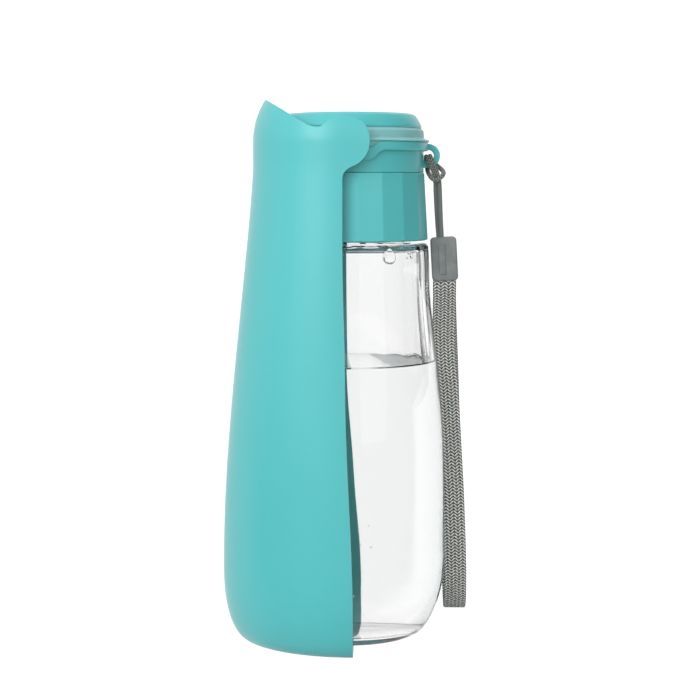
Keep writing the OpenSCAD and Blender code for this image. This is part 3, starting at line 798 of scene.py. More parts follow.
@dataclass
class Studio:
    """The camera, the floor, the white surround and the lamps."""

    camera_at: Point3 = (11.15, -638.9, 182.9)
    yaw: float = 1.0
    pitch: float = -5.9
    lens: float = 82.59
    sensor: float = 36.0
    floor_size: float = 8000.0
    fill: float = 0.32
    white: float = 1.13
    floor_white: float = 0.93
    floor_colour: str = "C8C8C8"
    flag_grey: float = 0.06
    flag_azimuth: float = 55.0
    side_azimuth: float = 90.0
    # the cosines between which a flag's edge fades, and the floor's place along Y, in metres
    flag_fade: Point2 = (0.15, 0.5)
    side_fade: Point2 = (0.86, 0.94)
    front_fade: Point2 = (-0.02, -0.06)
    aim_z: float = 110.0

    def camera(self) -> None:
        """Put up the camera."""
        data = bpy.data.cameras.new("studio_camera")
        data.lens = self.lens
        data.sensor_width = self.sensor
        data.clip_end = 100.0
        camera = bpy.data.objects.new("studio_camera", data)
        camera.location = Vector(self.camera_at) * MM
        camera.rotation_euler = (math.radians(90 + self.pitch), 0.0, math.radians(self.yaw))
        bpy.context.scene.collection.objects.link(camera)
        bpy.context.scene.camera = camera

    def darkness(self, tree: Material | bpy.types.World, rays: Node, shade: Socket) -> Socket:
        """Return how dark a place is to rays that were mirrored once on their way, and to no others.

        Args:
            tree: the material or world that takes the nodes.
            rays: its Light Path node.
            shade: how much of a black flag stands there, from 0 to 1.

        Returns:
            The share of light that is left.
        """
        reflected = add(tree, "ShaderNodeMath", {0: rays.outputs["Glossy Depth"], 1: 1.0, 2: 0.5},
                        operation="COMPARE")
        flag = add(tree, "ShaderNodeMath", {0: reflected, 1: shade}, operation="MULTIPLY")
        return add(tree, "ShaderNodeMapRange", {"Value": flag, "To Min": 1.0,
                                                "To Max": self.flag_grey}).outputs[0]

    def seen(self, tree: Material | bpy.types.World, rays: Node) -> Socket:
        """Return 1 for rays that show the surround itself: straight, mirrored or through the glass."""
        straight, mirrored, through = (rays.outputs[f"Is {kind} Ray"]
                                       for kind in ("Camera", "Glossy", "Transmission"))
        either = add(tree, "ShaderNodeMath", {0: straight, 1: mirrored}, operation="MAXIMUM")
        return add(tree, "ShaderNodeMath", {0: either, 1: through}, operation="MAXIMUM").outputs[0]

    def toward(self, tree: bpy.types.World, azimuth: float, start: float, end: float) -> Socket:
        """Return 1 in a direction of the surround, fading to 0 away from it.

        Args:
            tree: the world that takes the nodes.
            azimuth: the direction, as a lamp's.
            start: the cosine at which the fade starts.
            end: the cosine at which it ends.

        Returns:
            The share.
        """
        turn = math.radians(azimuth)
        around = add(tree, "ShaderNodeTexCoord").outputs["Generated"]
        facing = add(tree, "ShaderNodeVectorMath", {0: around, 1: (math.sin(turn), -math.cos(turn), 0.0)},
                     operation="DOT_PRODUCT")
        return add(tree, "ShaderNodeMapRange", {"Value": facing.outputs["Value"], "From Min": start,
                                                "From Max": end}, interpolation_type="SMOOTHSTEP").outputs[0]

    def surround(self) -> None:
        """Make the world white to the eye, with dark flags in front and at the side, and a soft fill."""
        world = emptied(bpy.data.worlds.new("white_surround"))
        rays = add(world, "ShaderNodeLightPath")
        left = self.darkness(world, rays, self.toward(world, self.flag_azimuth, *self.flag_fade))
        side = self.toward(world, self.side_azimuth, *self.side_fade)
        edge = add(world, "ShaderNodeMath", {0: side, 1: rays.outputs["Is Transmission Ray"]},
                   operation="MULTIPLY")
        bright = add(world, "ShaderNodeMapRange", {"Value": edge, "To Min": self.white,
                                                   "To Max": self.flag_grey})
        shown = add(world, "ShaderNodeMath", {0: left, 1: bright}, operation="MULTIPLY")
        strength = add(world, "ShaderNodeMix", {0: self.seen(world, rays), 2: self.fill, 3: shown})
        ground = add(world, "ShaderNodeBackground", {"Color": (1.0, 1.0, 1.0, 1.0), "Strength": strength})
        add(world, "ShaderNodeOutputWorld", {"Surface": ground})
        bpy.context.scene.world = world

    def floor(self) -> None:
        """Lay a white floor that keeps a faint shadow, and is dark in front to reflections."""
        floor = primitive("studio_floor", "plane", size=self.floor_size * MM)
        material = emptied(bpy.data.materials.new("white_floor"))
        rays = add(material, "ShaderNodeLightPath")
        around = add(material, "ShaderNodeTexCoord").outputs["Object"]
        spot = add(material, "ShaderNodeSeparateXYZ", {0: around})
        near, far = self.front_fade
        front = add(material, "ShaderNodeMapRange", {"Value": spot.outputs[1], "From Min": near,
                                                     "From Max": far})
        left = self.darkness(material, rays, front.outputs[0])
        share = add(material, "ShaderNodeMath", {0: self.seen(material, rays), 1: self.floor_white},
                    operation="MULTIPLY")
        lit = add(material, "ShaderNodeBsdfDiffuse", {"Color": linear(self.floor_colour)})
        strength = add(material, "ShaderNodeMath", {0: left, 1: self.white}, operation="MULTIPLY")
        glow = add(material, "ShaderNodeEmission", {"Color": (1.0, 1.0, 1.0, 1.0), "Strength": strength})
        mixed = add(material, "ShaderNodeMixShader", {0: share, 1: lit, 2: glow})
        add(material, "ShaderNodeOutputMaterial", {"Surface": mixed})
        floor.data.materials.append(material)

    def lamp(self, name: str, azimuth: float, height: float, distance: float, size: float,
             watts: float, mirrored: bool) -> None:
        """Hang a soft square lamp that faces the bottle.

        Args:
            name: the lamp's name.
            azimuth: its direction, in degrees from the camera's side, positive towards the strap.
            height: its height, in millimetres.
            distance: how far out it stands, in millimetres.
            size: the side of its square, in millimetres.
            watts: its power.
            mirrored: whether glossy surfaces show it.
        """
        data = bpy.data.lights.new(name, "AREA")
        data.shape = "SQUARE"
        data.size = size * MM
        data.energy = watts
        lamp = bpy.data.objects.new(name, data)
        turn = math.radians(azimuth)
        spot = Vector((distance * math.sin(turn), -distance * math.cos(turn), height)) * MM
        lamp.location = spot
        lamp.rotation_euler = (Vector((0, 0, self.aim_z)) * MM - spot).to_track_quat("-Z", "Y").to_euler()
        lamp.visible_camera = False
        lamp.visible_transmission = False
        lamp.visible_glossy = mirrored
        bpy.context.scene.collection.objects.link(lamp)

    def light(self) -> None:
        """Hang a wide key in front, a softbox at either side that gloss shows, and a weak lamp above."""
        self.lamp("key_softbox", azimuth=-17, height=950, distance=1700, size=1900, watts=18, mirrored=False)
        self.lamp("sheen_softbox", azimuth=-36, height=850, distance=1700, size=900, watts=9.5, mirrored=True)
        self.lamp("side_softbox", azimuth=30, height=420, distance=1500, size=900, watts=1.9, mirrored=True)
        self.lamp("top_softbox", azimuth=170, height=1500, distance=500, size=900, watts=5, mirrored=False)

    def set_up(self) -> None:
        """Set up the whole studio."""
        self.camera()
        self.surround()
        self.floor()
        self.light()
        bpy.context.scene.view_settings.view_transform = "Standard"


# ---------- strap ----------


@dataclass
class Strap:
    """The wrist strap: a doubled cord hitched to the lug, a clamp in two halves and a ribbon loop."""

    cord_d: float = 1.8
    cord_sides: int = 12
    ribbon_w: float = 9.2
    ribbon_t: float = 1.3
    clamp_size: Point3 = (10.3, 2.85, 17.4)
    clamp_at: Point3 = (37.4, 0.0, 153.4)
    clamp_lean: float = 3.2
    clamp_corner: float = 1.6
    clamp_edge: float = 0.85
    clamp_gap: float = 0.1
    clamp_slot: Point2 = (3.2, 12)
    panel: Point2 = (2.7, 12.2)
    panel_x: float = -0.9
    panel_rise: float = 0.4
    panel_corner: float = 0.5
    panel_edge: float = 0.25
    # the cord leaves the clamp, passes the lug, is hitched over itself and comes back
    cord_points: list[Point3] = field(default_factory=lambda: [
        (35.4, 0.5, 157), (35.1, 0.45, 162), (34.6, 0.2, 168), (34.2, -0.35, 174), (33.85, -1, 180),
        (33.7, -1.4, 184), (32.8, -2.3, 188), (31.3, -2.8, 190.6), (30.5, -2, 192.9), (30.1, 0, 193.7),
        (30.1, 2, 193), (30.4, 2.9, 190.8), (30.7, 2.4, 188.4), (31, 0.5, 187.2), (31.3, -2, 186.6),
        (32.1, -3.8, 185.3), (33.9, -4.3, 184.4), (35.8, -3.7, 185.6), (36.9, -1.7, 187),
        (36.6, 0.8, 188.2), (35.2, 2.6, 189.6), (33.4, 2.9, 191.2), (31.9, 2, 193.2), (31.6, 0, 193.9),
        (31.9, -2, 193.1), (32.9, -2.8, 190.8), (34.1, -2.5, 188), (35.15, -2.4, 184), (35.45, -2.15, 180),
        (35.7, -1.6, 174), (36, -1.15, 168), (36.35, -0.95, 162), (36.5, -0.95, 157)])
    # the ribbon hangs from the clamp, turns over at the bottom and comes back up behind
    ribbon_points: list[Point3] = field(default_factory=lambda: [
        (37.5, -0.75, 150), (37.5, -0.75, 147), (37.6, -0.6, 144.3), (37.6, 0.2, 141.8), (37.7, 1.8, 139),
        (37.8, 6.2, 131), (37.9, 10.2, 121), (38.4, 12.4, 111), (39.5, 12.9, 99), (40.3, 12.8, 86),
        (41.1, 12.2, 72), (41.9, 11.4, 58), (42.5, 10.8, 44), (43, 11.2, 31), (43.3, 13.4, 20),
        (43.5, 18.4, 10), (43.5, 25.4, 5.8), (43.5, 32.6, 9.4), (43.3, 37.2, 18.4), (43, 39, 31),
        (42.5, 38.4, 46), (41.9, 35.8, 63), (41.2, 31.6, 80), (40.4, 26.2, 97), (39.5, 20.2, 113),
        (38.6, 13.8, 127), (38, 8, 136.6), (37.8, 4.2, 140), (37.7, 1.8, 142.2), (37.6, 0.8, 144.5),
        (37.5, 0.75, 147), (37.5, 0.75, 150)])

    def cord(self, palette: Palette) -> Object:
        """Lay the braided cord, and return it."""
        curve = eased(self.cord_points, 4)
        course = headings(curve)
        sides = [course[0].cross(Vector((0.3, 1, 0.2))).normalized()]
        for heading in course[1:]:
            sides.append((sides[-1] - sides[-1].dot(heading) * heading).normalized())
        radius = self.cord_d / 2

        def spot(row: int, column: int) -> Point3:
            """Place a point of the cord's skin."""
            turn = TAU * column / self.cord_sides
            out = sides[row] * math.cos(turn) + course[row].cross(sides[row]) * math.sin(turn)
            return tuple(curve[row] + out * radius)

        girth = [math.pi * self.cord_d * c / self.cord_sides for c in range(self.cord_sides + 1)]
        lengths = run_lengths(curve)
        piece = sheet_of("wrist_cord", len(curve), self.cord_sides + 1, spot, lengths, girth)
        smooth(knit(piece, fill=True), 60)
        finish_piece(piece, palette.cord, Body.STRAP, Slot.CORD, "strap_cord")
        return self.hang(piece)

    def hang(self, piece: Object) -> Object:
        """Return the cord or the ribbon as it is.

        Args:
            piece: the finished piece.

        Returns:
            The same piece.
        """
        return piece

    def ribbon(self, palette: Palette) -> Object:
        """Hang the woven ribbon, and return it."""
        curve = eased(self.ribbon_points, 4)
        course = headings(curve)
        half_w, half_t = self.ribbon_w / 2, self.ribbon_t / 2
        # across the ribbon and back: its edges are thin and round, as a woven edge is
        edge = [(1.0, 0.0), (0.985, 0.55), (0.945, 0.88), (0.8, 1.0)]
        face = edge + [(0.0, 1.0)] + [(-x, t) for x, t in reversed(edge)]
        ring = face + [(x, -t) for x, t in reversed(face)][1:]

        def spot(row: int, column: int) -> Point3:
            """Place a point of the ribbon's skin."""
            heading = course[row]
            wide = (Vector((1, 0, 0)) - heading.x * heading).normalized()
            thick = heading.cross(Vector((1, 0, 0))).normalized()
            x, t = ring[column]
            return tuple(curve[row] + wide * x * half_w + thick * t * half_t)

        lengths = run_lengths(curve)
        widths = [half_w * (1 + x) for x, _ in ring]
        piece = sheet_of("wrist_ribbon", len(curve), len(ring), spot, lengths, widths)
        smooth(knit(piece, fill=True), 50)
        finish_piece(piece, palette.webbing, Body.STRAP, Slot.WEBBING, "strap_ribbon")
        return self.hang(piece)

    def pillow(self, piece: Object, face: float, corner: float, edge: float, corner_steps: int,
               edge_steps: int) -> None:
        """Round a block's four corners and then the edges of its face.

        Args:
            piece: the block.
            face: where its outer face is along Y, in millimetres.
            corner: the width of the corners' round.
            edge: the width of the round of the face's edges.
            corner_steps: how many faces make a corner.
            edge_steps: how many faces make an edge.
        """
        bevel_edges(piece, lambda e: abs((e.verts[0].co - e.verts[1].co).normalized().y) > 0.99, corner,
                    corner_steps)
        bevel_edges(piece, lambda e: all(abs(v.co.y - face * MM) < 1e-6 for v in e.verts) and sharp()(e),
                    edge, edge_steps)

    def clamp_half(self, name: str, node: str, side: int, palette: Palette) -> Object:
        """Mould one half of the clamp.

        Args:
            name: the piece's name.
            node: the node that it stands for.
            side: -1 for the half on the -Y side, 1 for the other.
            palette: the finished materials.

        Returns:
            The half.
        """
        width, thick, height = self.clamp_size
        panel_w, panel_h = self.panel
        face = side * thick / 2
        middle = side * (thick / 2 + self.clamp_gap / 2)
        piece = block(name, (width, thick, height))
        self.pillow(piece, face, self.clamp_corner, self.clamp_edge, 6, 4)
        pad = block("raised_panel", (panel_w, 2 * self.panel_rise, panel_h), (self.panel_x, face, 0))
        self.pillow(pad, side * (thick / 2 + self.panel_rise), self.panel_corner, self.panel_edge, 3, 3)
        cut(piece, pad, "UNION")
        cut(piece, block("slot_cutter", (self.ribbon_w + 0.2, *self.clamp_slot), (0.1, -middle, -height / 2)))
        place(piece, Matrix.Translation(self.clamp_at)
              @ Matrix.Rotation(math.radians(-self.clamp_lean), 4, "Y")
              @ Matrix.Translation((0, middle, 0)))
        smooth(piece, 40)
        return finish_piece(piece, palette.grey, Body.STRAP, Slot.GREY, node)

    def make(self, palette: Palette) -> None:
        """Make the strap."""
        self.cord(palette)
        self.ribbon(palette)
        self.clamp_half("clamp_shell_front", "clamp_front", -1, palette)
        self.clamp_half("clamp_shell_back", "clamp_back", 1, palette)


# ---------- bottle ----------


@dataclass
class Bottle:
    """The clear bottle, with its water, the bubbles in it and the drops on the wall above it."""

    radius: float = 38.2
    shoulder_r: float = 32.0
    foot_r: float = 28.5
    foot_z: float = 4.0
    shoulder_z: float = 159.8
    shoulder_round: float = 1.9
    shoulder_t: float = 1.6
    rim_z: float = 178.0
    wall: float = 3.0
    neck_r: float = 24.0
    bore_r: float = 21.5
    corner_h: float = 25.0
    punt: float = 3.0
    base_t: float = 1.8
    water_z: float = 112.3
    seep: float = 0.07
    creep: float = 1.1
    flats: int = 20
    flat_turn: float = -2.0
    flats_z0: float = 90.0
    flats_grow: float = 55.0
    thread_z: float = 164.0
    thread_pitch: float = 3.0
    thread_turns: float = 2.0
    thread_reach: float = 1.2
    # each drop's turn in degrees, height, width, length and how far it stands off the wall
    drop_spots: Sequence[tuple[float, ...]] = (
        (-59.0, 155.2, 5.5, 6.0, 1.3), (-40.5, 156.4, 1.7, 1.5, 0.5), (-37.5, 155.3, 2.0, 2.4, 0.6),
        (-35.0, 156.6, 1.2, 1.0, 0.4), (-43.0, 154.6, 0.9, 1.0, 0.3), (-36.0, 116.6, 1.3, 1.2, 0.4),
        (-39.5, 117.2, 0.9, 0.9, 0.3), (-47.0, 116.9, 0.8, 0.8, 0.3))

    @property
    def side_z0(self) -> float:
        """The height at which the corner above the foot ends."""
        return self.foot_z + self.corner_h

    @property
    def side_z1(self) -> float:
        """The height at which the side is as narrow as the shoulder."""
        return self.shoulder_z - 9.3

    def side_r(self, z: float) -> float:
        """Return the outer radius of the side at a height."""
        t = clip((z - self.side_z0) / (self.side_z1 - self.side_z0))
        return self.radius - (self.radius - self.shoulder_r) * swing(t ** 1.8)

    def corner(self, r0: float, z0: float, r1: float, z1: float, steps: int) -> list[Point2]:
        """Return the points of a corner that is flat at its foot and upright at its top."""
        angles = [math.pi / 2 * i / steps for i in range(steps + 1)]
        return [(r0 + (r1 - r0) * math.sin(a) ** (4 / 3), z1 - (z1 - z0) * max(math.cos(a), 0) ** (4 / 3))
                for a in angles]

    def inner_skin(self, inset: float) -> list[Point2]:
        """Return the inner wall from the middle of the base up to below the shoulder.

        Args:
            inset: how far the wall's skin lies inside the outside.

        Returns:
            Points of radius and height.
        """
        foot = (self.foot_r - 4 - inset + self.wall, self.foot_z + self.base_t + 1.6 + inset - self.wall)
        lower = self.corner(*foot, self.radius - inset, self.side_z0 + 1, 18)
        heights = [self.side_z0 + 1 + (self.shoulder_z - 10.3 - self.side_z0) * i / 40 for i in range(1, 41)]
        centre = self.foot_z + self.punt + self.base_t + inset - self.wall
        return [(0.0, centre), (self.foot_r * 0.35, centre - 0.25), (self.foot_r * 0.62, centre - 0.9)] \
            + lower + [(self.side_r(z) - inset, z) for z in heights]

    def outline(self) -> list[Point2]:
        """Return the bottle's closed outline, outside first."""
        z = self.shoulder_z
        heights = [self.side_z0 + (self.side_z1 - self.side_z0) * i / 44 for i in range(1, 45)]
        # the punt, as shares of the foot's radius and of its height
        punt = ((0.0, 1.0), (0.45, 0.86), (0.65, 0.6), (0.78, 0.3))
        base = [(self.foot_r * r, self.foot_z + self.punt * h) for r, h in punt]
        base += [(self.foot_r * 0.86, self.foot_z + 0.2), (self.foot_r * 0.93, self.foot_z)]
        round_r = self.shoulder_round
        centre = (self.shoulder_r - 0.5 - round_r, z - round_r)
        turns = [math.radians(a) for a in range(0, 91, 10)]
        over = [(centre[0] + round_r * math.cos(a), centre[1] + round_r * math.sin(a)) for a in turns]
        roof = z - self.shoulder_t
        neck = rounded([(self.neck_r, z, 1.2), (self.neck_r, self.rim_z, 0.5), (self.bore_r, self.rim_z, 0.5),
                        (self.bore_r, roof, 1.2), (self.shoulder_r - self.wall - 0.2, roof, 2.2),
                        (self.shoulder_r - self.wall, z - 12, 0.0)], 6)
        inside = list(reversed(self.inner_skin(self.wall)))
        return base + self.corner(self.foot_r, self.foot_z, self.radius, self.side_z0, 20) \
            + [(self.side_r(h), h) for h in heights] + over + neck[:-1] + inside

    def press_flats(self, piece: Object) -> None:
        """Press faint upright flats into the outside, deepest at the shoulder."""
        step = TAU / self.flats
        for vertex in piece.data.vertices:
            x, y, z = vertex.co / MM
            radius = math.hypot(x, y)
            outside = radius >= self.side_r(min(z, 150)) - 1.2
            if z < self.flats_z0 or z > self.shoulder_z + 0.1 or not outside:
                continue
            depth = min((z - self.flats_z0) / self.flats_grow, 1.0)
            depth = depth * depth * (3 - 2 * depth)
            turn = (math.atan2(y, x) - math.radians(self.flat_turn) + step / 2) % step - step / 2
            flat = radius * math.cos(step / 2) / math.cos(turn)
            pressed = radius + (flat - radius) * depth
            vertex.co.x *= pressed / radius
            vertex.co.y *= pressed / radius

    def thread(self) -> Object:
        """Wind the thread round the neck, and return it."""
        steps = 48
        count = round(steps * self.thread_turns)
        root = self.neck_r - 0.2

        def spot(row: int, column: int) -> Point3:
            """Place a point of the ridge, which grows out of the neck at either end."""
            grow = min(1.0, row / 6, (count - row) / 6)
            crest = root + (self.thread_reach + 0.2) * max(grow, 0.05)
            section = [(root, -0.8), (crest, -0.42), (crest, 0.42), (root, 0.8), (root, -0.8)]
            radius, rise = section[column]
            turn = TAU * row / steps
            return (radius * math.cos(turn), radius * math.sin(turn),
                    self.thread_z + self.thread_pitch * row / steps + rise)

        return knit(sheet_of("neck_thread", count + 1, 5, spot), fill=True)

    def shell(self, palette: Palette) -> Object:
        """Blow the bottle, and return it."""
        piece = lathe("blown_bottle", self.outline(), steps=180)
        self.press_flats(piece)
        cut(piece, self.thread(), "UNION")
        smooth(piece, 35)
        return let_light_through(finish_piece(piece, palette.clear, Body.BOTTLE, Slot.CLEAR, "bottle"))

    def water(self, palette: Palette) -> Object:
        """Fill the bottle to its level, with the water's edge drawn up at the wall."""
        skin = [(r, z) for r, z in self.inner_skin(self.wall - self.seep) if z < self.water_z - 0.5]
        wall_r = self.side_r(self.water_z) - self.wall + self.seep
        lip_r = wall_r - 0.25
        edge = [(wall_r, self.water_z + self.creep), (lip_r, self.water_z + self.creep)]
        curl = [(lip_r - 4.5 * t, self.water_z + self.creep * math.exp(-5 * t))
                for t in (0.1, 0.2, 0.35, 0.55, 0.8, 1)]
        piece = lathe("drinking_water", skin + edge + curl + [(0.0, self.water_z)], steps=180)
        smooth(piece, 50)
        let_light_through(finish_piece(piece, palette.water, Body.BOTTLE, Slot.CLEAR))
        # chosen for the looks: unlike the bottle round it, the water casts its shadow
        piece.visible_shadow = True
        return piece

    def cling(self, bead: Object, turn: float, radius: float, z: float, size: Point3) -> Object:
        """Set a bead on the inner wall.

        Args:
            bead: the bead, made at the origin.
            turn: its direction round the bottle, in radians.
            radius: how far out its middle is.
            z: its height.
            size: its scale outwards, round the bottle and upwards.

        Returns:
            The same bead.
        """
        out = Vector((math.cos(turn), math.sin(turn), 0))
        return place(bead, Matrix.Translation(out * radius + Vector((0, 0, z)))
                     @ Matrix.Rotation(turn, 4, "Z") @ Matrix.Diagonal((*size, 1)))

    def strew(self, name: str, beads: Sequence[Object], material: Material) -> Object:
        """Join beads into one piece with its finish, and return it."""
        piece = join(*beads)
        piece.name = name
        smooth(piece, 60)
        return let_light_through(finish_piece(piece, material, Body.BOTTLE, Slot.CLEAR))

    def bubbles(self, palette: Palette) -> Object:
        """Scatter small bubbles over the inner wall, low down on its -Y side."""
        source = random.Random(7)
        beads: list[Object] = []
        for _ in range(26):
            z = source.uniform(16, 60)
            turn = math.radians(source.uniform(256, 284))
            radius = self.bubble_wall(z) - 0.5
            bead = primitive("bubble", "ico_sphere", subdivisions=2, radius=source.uniform(0.14, 0.34) * MM)
            beads.append(self.cling(bead, turn, radius, z, (0.7, 1, 1.1)))
        return self.strew("wall_bubbles", beads, palette.air)

    def drops(self, palette: Palette) -> Object:
        """Cling drops of water to the inner wall, under the shoulder and at the water's edge."""
        beads: list[Object] = []
        for degrees, z, width, height, reach in self.drop_spots:
            bead = primitive("drop", "uv_sphere", segments=32, ring_count=20, radius=MM)
            for vertex in bead.data.vertices:
                # a drop hangs: it is fuller low down and drawn out at its top
                vertex.co.y *= 1 - 0.16 * vertex.co.z / MM
            turn = math.radians(degrees)
            wall = self.side_r(z) - self.wall + 0.05
            self.cling(bead, turn, wall, z, (reach, width / 2, height / 2))
            # the half inside the wall is cut off, where the drop meets it
            out = Vector((math.cos(turn), math.sin(turn), 0))
            halve(bead, (out.x * wall, out.y * wall, 0), (out.x, out.y, 0))
            beads.append(bead)
        return self.strew("wall_drops", beads, palette.water)

    def bubble_wall(self, z: float) -> float:
        """Return the radius of the inner wall at a height."""
        skin = self.inner_skin(self.wall)
        for (r0, z0), (r1, z1) in zip(skin[3:], skin[4:]):
            if z0 <= z <= z1:
                return r0 + (r1 - r0) * (z - z0) / (z1 - z0)
        return skin[-1][0]

    def make(self, palette: Palette) -> None:
        """Make the bottle and what is in it."""
        self.shell(palette)
        self.water(palette)
        self.bubbles(palette)
        self.drops(palette)


# ---------- collar ----------


@dataclass
class Collar:
    """The swivel collar: a tapered ring with 20 flats that screws the head to the bottle."""

    z0: float = 160.9
    z1: float = 187.2
    foot: float = 30.85
    top: float = 29.3
    flats: int = 20
    turn: float = -2.0
    edge: float = 0.8
    bore: float = 25.6
    tube_r: float = 26.0
    bead_r: float = 27.6
    cavity: Point2 = (178.45, 182.6)
    foot_cut: float = 0.8

    def make(self, palette: Palette) -> Object:
        """Mould the collar, and return it."""
        corner = 1 / math.cos(math.pi / self.flats)
        rise = self.z1 - self.z0
        piece = primitive("faceted_collar", "cone", vertices=self.flats, radius1=self.foot * corner * MM,
                          radius2=self.top * corner * MM, depth=rise * MM)
        # a primitive's first corner is on +Y
        place(piece, Matrix.Translation((0, 0, self.z0 + rise / 2))
              @ Matrix.Rotation(math.radians(self.turn + 180 / self.flats - 90), 4, "Z"))
        bevel_edges(piece, lambda e: abs(e.verts[0].co.z - e.verts[1].co.z) > rise * MM / 2, self.edge, 3)
        outer = self.foot * corner + 1
        ring = lathe("collar_blank", rounded([
            (self.bore, self.z0, 0.3), (self.foot * corner - self.foot_cut, self.z0, 0.2),
            (self.foot * corner - 0.05, self.z0 + self.foot_cut * 0.7, 0.4), (outer, self.z0 + 2.4),
            (outer, self.z1 - 1.4), (self.top * corner - 0.05, self.z1 - 0.2, 0.1),
            (self.top * corner - 0.2, self.z1, 0.1), (self.tube_r, self.z1, 0.2),
            (self.tube_r, self.cavity[1], 0.0), (self.bead_r, self.cavity[1], 0.2),
            (self.bead_r, self.cavity[0], 0.2), (self.bore, self.cavity[0], 0.2)], 3), steps=160)
        cut(piece, ring, "INTERSECT")
        smooth(piece, 20)
        return finish_piece(piece, palette.teal, Body.COLLAR, Slot.TEAL, "collar")


# ---------- head ----------


@dataclass
class Head:
    """The fixed pieces of the head: its shell with flange, hinge bosses and lug, the seal and the cap."""

    radius: float = 29.05
    foot_z: float = 187.35
    tube_z0: float = 179.85
    tube_r: float = 25.7
    bore_r: float = 22.0
    bead_r: float = 27.2
    bead_z: float = 181.0
    deck: Point2 = (191.05, 193.45)
    flange: Point2 = (195.75, 199.15)
    flange_r: float = 30.8
    band_z1: float = 204.55
    groove_r: float = 27.4
    pocket_r: float = 25.4
    cap_z1: float = 210.25
    pivot: Point2 = (-1.83, 198.75)
    boss_r: float = 7.4
    boss_y: Point2 = (25.6, 32.2)
    lug_at: Point2 = (30.8, 193.95)
    lug_r: float = 4.7
    lug_hole_r: float = 2.3
    lug_t: float = 3.0
    port_r: float = 3.2
    port_at: float = 7.6
    stem_r: float = 2.57
    tail_x: float = 3.6
    seal_r: float = 29.2
    lip_r: float = 31.2
    seal_x: float = 2.5
    # how far the flange has turned down beside the hinge, from its place along X
    top_drop: Sequence[Point2] = ((4, 2.7), (9, 2.25), (10.3, 1.45), (11.2, 0.75), (12.4, 0.2), (13.6, 0))
    foot_drop: Sequence[Point2] = ((4, 4.0), (7.8, 3.95), (9.3, 3.45), (10.7, 2.15), (11.4, 1.2),
                                   (12.4, 0.45), (14, 0))

    def flange_top(self, x: float) -> float:
        """Return the height of the flange's upper edge."""
        return self.flange[1] - softened(lambda u: along(self.top_drop, u), x, 0.5)

    def flange_foot(self, x: float) -> float:
        """Return the height of the flange's lower edge."""
        return self.flange[0] - softened(lambda u: along(self.foot_drop, u), x, 0.5)

    def tail_band(self, name: str, r0: float, r1: float, foot: Callable[[float], float],
                    top: Callable[[float], float], round_r: float) -> Object:
        """Run a band round the strap side of the head, between two heights that change along X.

        Args:
            name: the piece's name.
            r0: its inner radius.
            r1: its outer radius.
            foot: its lower height, from the place along X.
            top: its upper height, from the place along X.
            round_r: the radius of its outer edges.

        Returns:
            The closed band.
        """
        reach = math.acos(self.tail_x / r1)
        rows = 161

        def spot(row: int, column: int) -> Point3:
            """Place a point of the band."""
            turn = reach * (2 * row / (rows - 1) - 1)
            x = r1 * math.cos(turn)
            low = foot(x)
            high = max(top(x), low + 0.06)
            soft = min(round_r, (high - low) * 0.45)
            section = rounded([(r0, low), (r1, low, soft), (r1, high, soft), (r0, high)], 4)
            radius, z = section[column % len(section)]
            return (radius * math.cos(turn), radius * math.sin(turn), z)

        return knit(sheet_of(name, rows, 13, spot), fill=True)

    def boss(self, side: int) -> Object:
        """Return one hinge boss, flat on top where the cap sits over it."""
        y0, y1 = self.boss_y
        piece = primitive("hinge_boss", "cylinder", vertices=72, radius=self.boss_r * MM,
                          depth=(y1 - y0) * MM)
        place(piece, Matrix.Translation((self.pivot[0], side * (y0 + y1) / 2, self.pivot[1]))
              @ Matrix.Rotation(math.pi / 2, 4, "X"))
        halve(piece, (0, 0, self.band_z1 - 0.1), (0, 0, 1))
        bevel_edges(piece, sharp(50), 0.4, 3)
        return piece

    def lug(self) -> Object:
        """Return the strap lug: a round eye on a short web."""
        x, z = self.lug_at
        web = x - self.radius + 2
        steps = 96

        def spot(row: int, column: int) -> Point3:
            """Place a point of the lug's side view, on its outline or its hole."""
            turn = TAU * column / steps
            c, s = math.cos(turn), math.sin(turn)
            reach = self.lug_r if c >= 0 else min(self.lug_r / max(abs(s), 1e-6), web / max(abs(c), 1e-6))
            radius = self.lug_hole_r if row == 0 else reach
            return (x + radius * c, -self.lug_t / 2, z + radius * s)

        piece = sheet_of("strap_lug", 2, steps + 1, spot)
        pull(piece, (0, self.lug_t, 0), 0.002)
        bevel_edges(piece, sharp(50), 0.45, 3)
        return piece

    def shell(self, palette: Palette) -> Object:
        """Mould the head's shell, and return it."""
        z0, z1 = self.foot_z, self.flange[1]
        piece = lathe("head_moulding", rounded([
            (self.bore_r, self.tube_z0, 0.3), (self.tube_r, self.tube_z0, 0.3),
            (self.tube_r, self.bead_z - 0.85, 0.1), (self.bead_r, self.bead_z - 0.45, 0.3),
            (self.bead_r, self.bead_z + 0.45, 0.3), (self.tube_r, self.bead_z + 0.85, 0.1),
            (self.tube_r, z0, 0.2), (self.radius, z0, 0.15), (self.radius, z1, 0.0),
            (self.groove_r, z1, 0.2), (self.groove_r, self.band_z1, 0.2), (self.pocket_r, self.band_z1, 0.2),
            (self.pocket_r, self.deck[1], 0.5), (0.0, self.deck[1]), (0.0, self.deck[0]),
            (self.bore_r, self.deck[0], 0.5)], 4), steps=160)
        for y, radius in ((0.0, self.stem_r), (self.port_at, self.port_r), (-self.port_at, self.port_r)):
            drill(piece, (0.0, y, sum(self.deck) / 2), radius)
        flange = self.tail_band("flange", self.radius - 0.6, self.flange_r, self.flange_foot,
                                self.flange_top, 0.5)
        join(piece, flange, self.boss(-1), self.boss(1), self.lug())
        smooth(piece, 30)
        return finish_piece(piece, palette.teal, Body.HEAD, Slot.TEAL, "head_body")

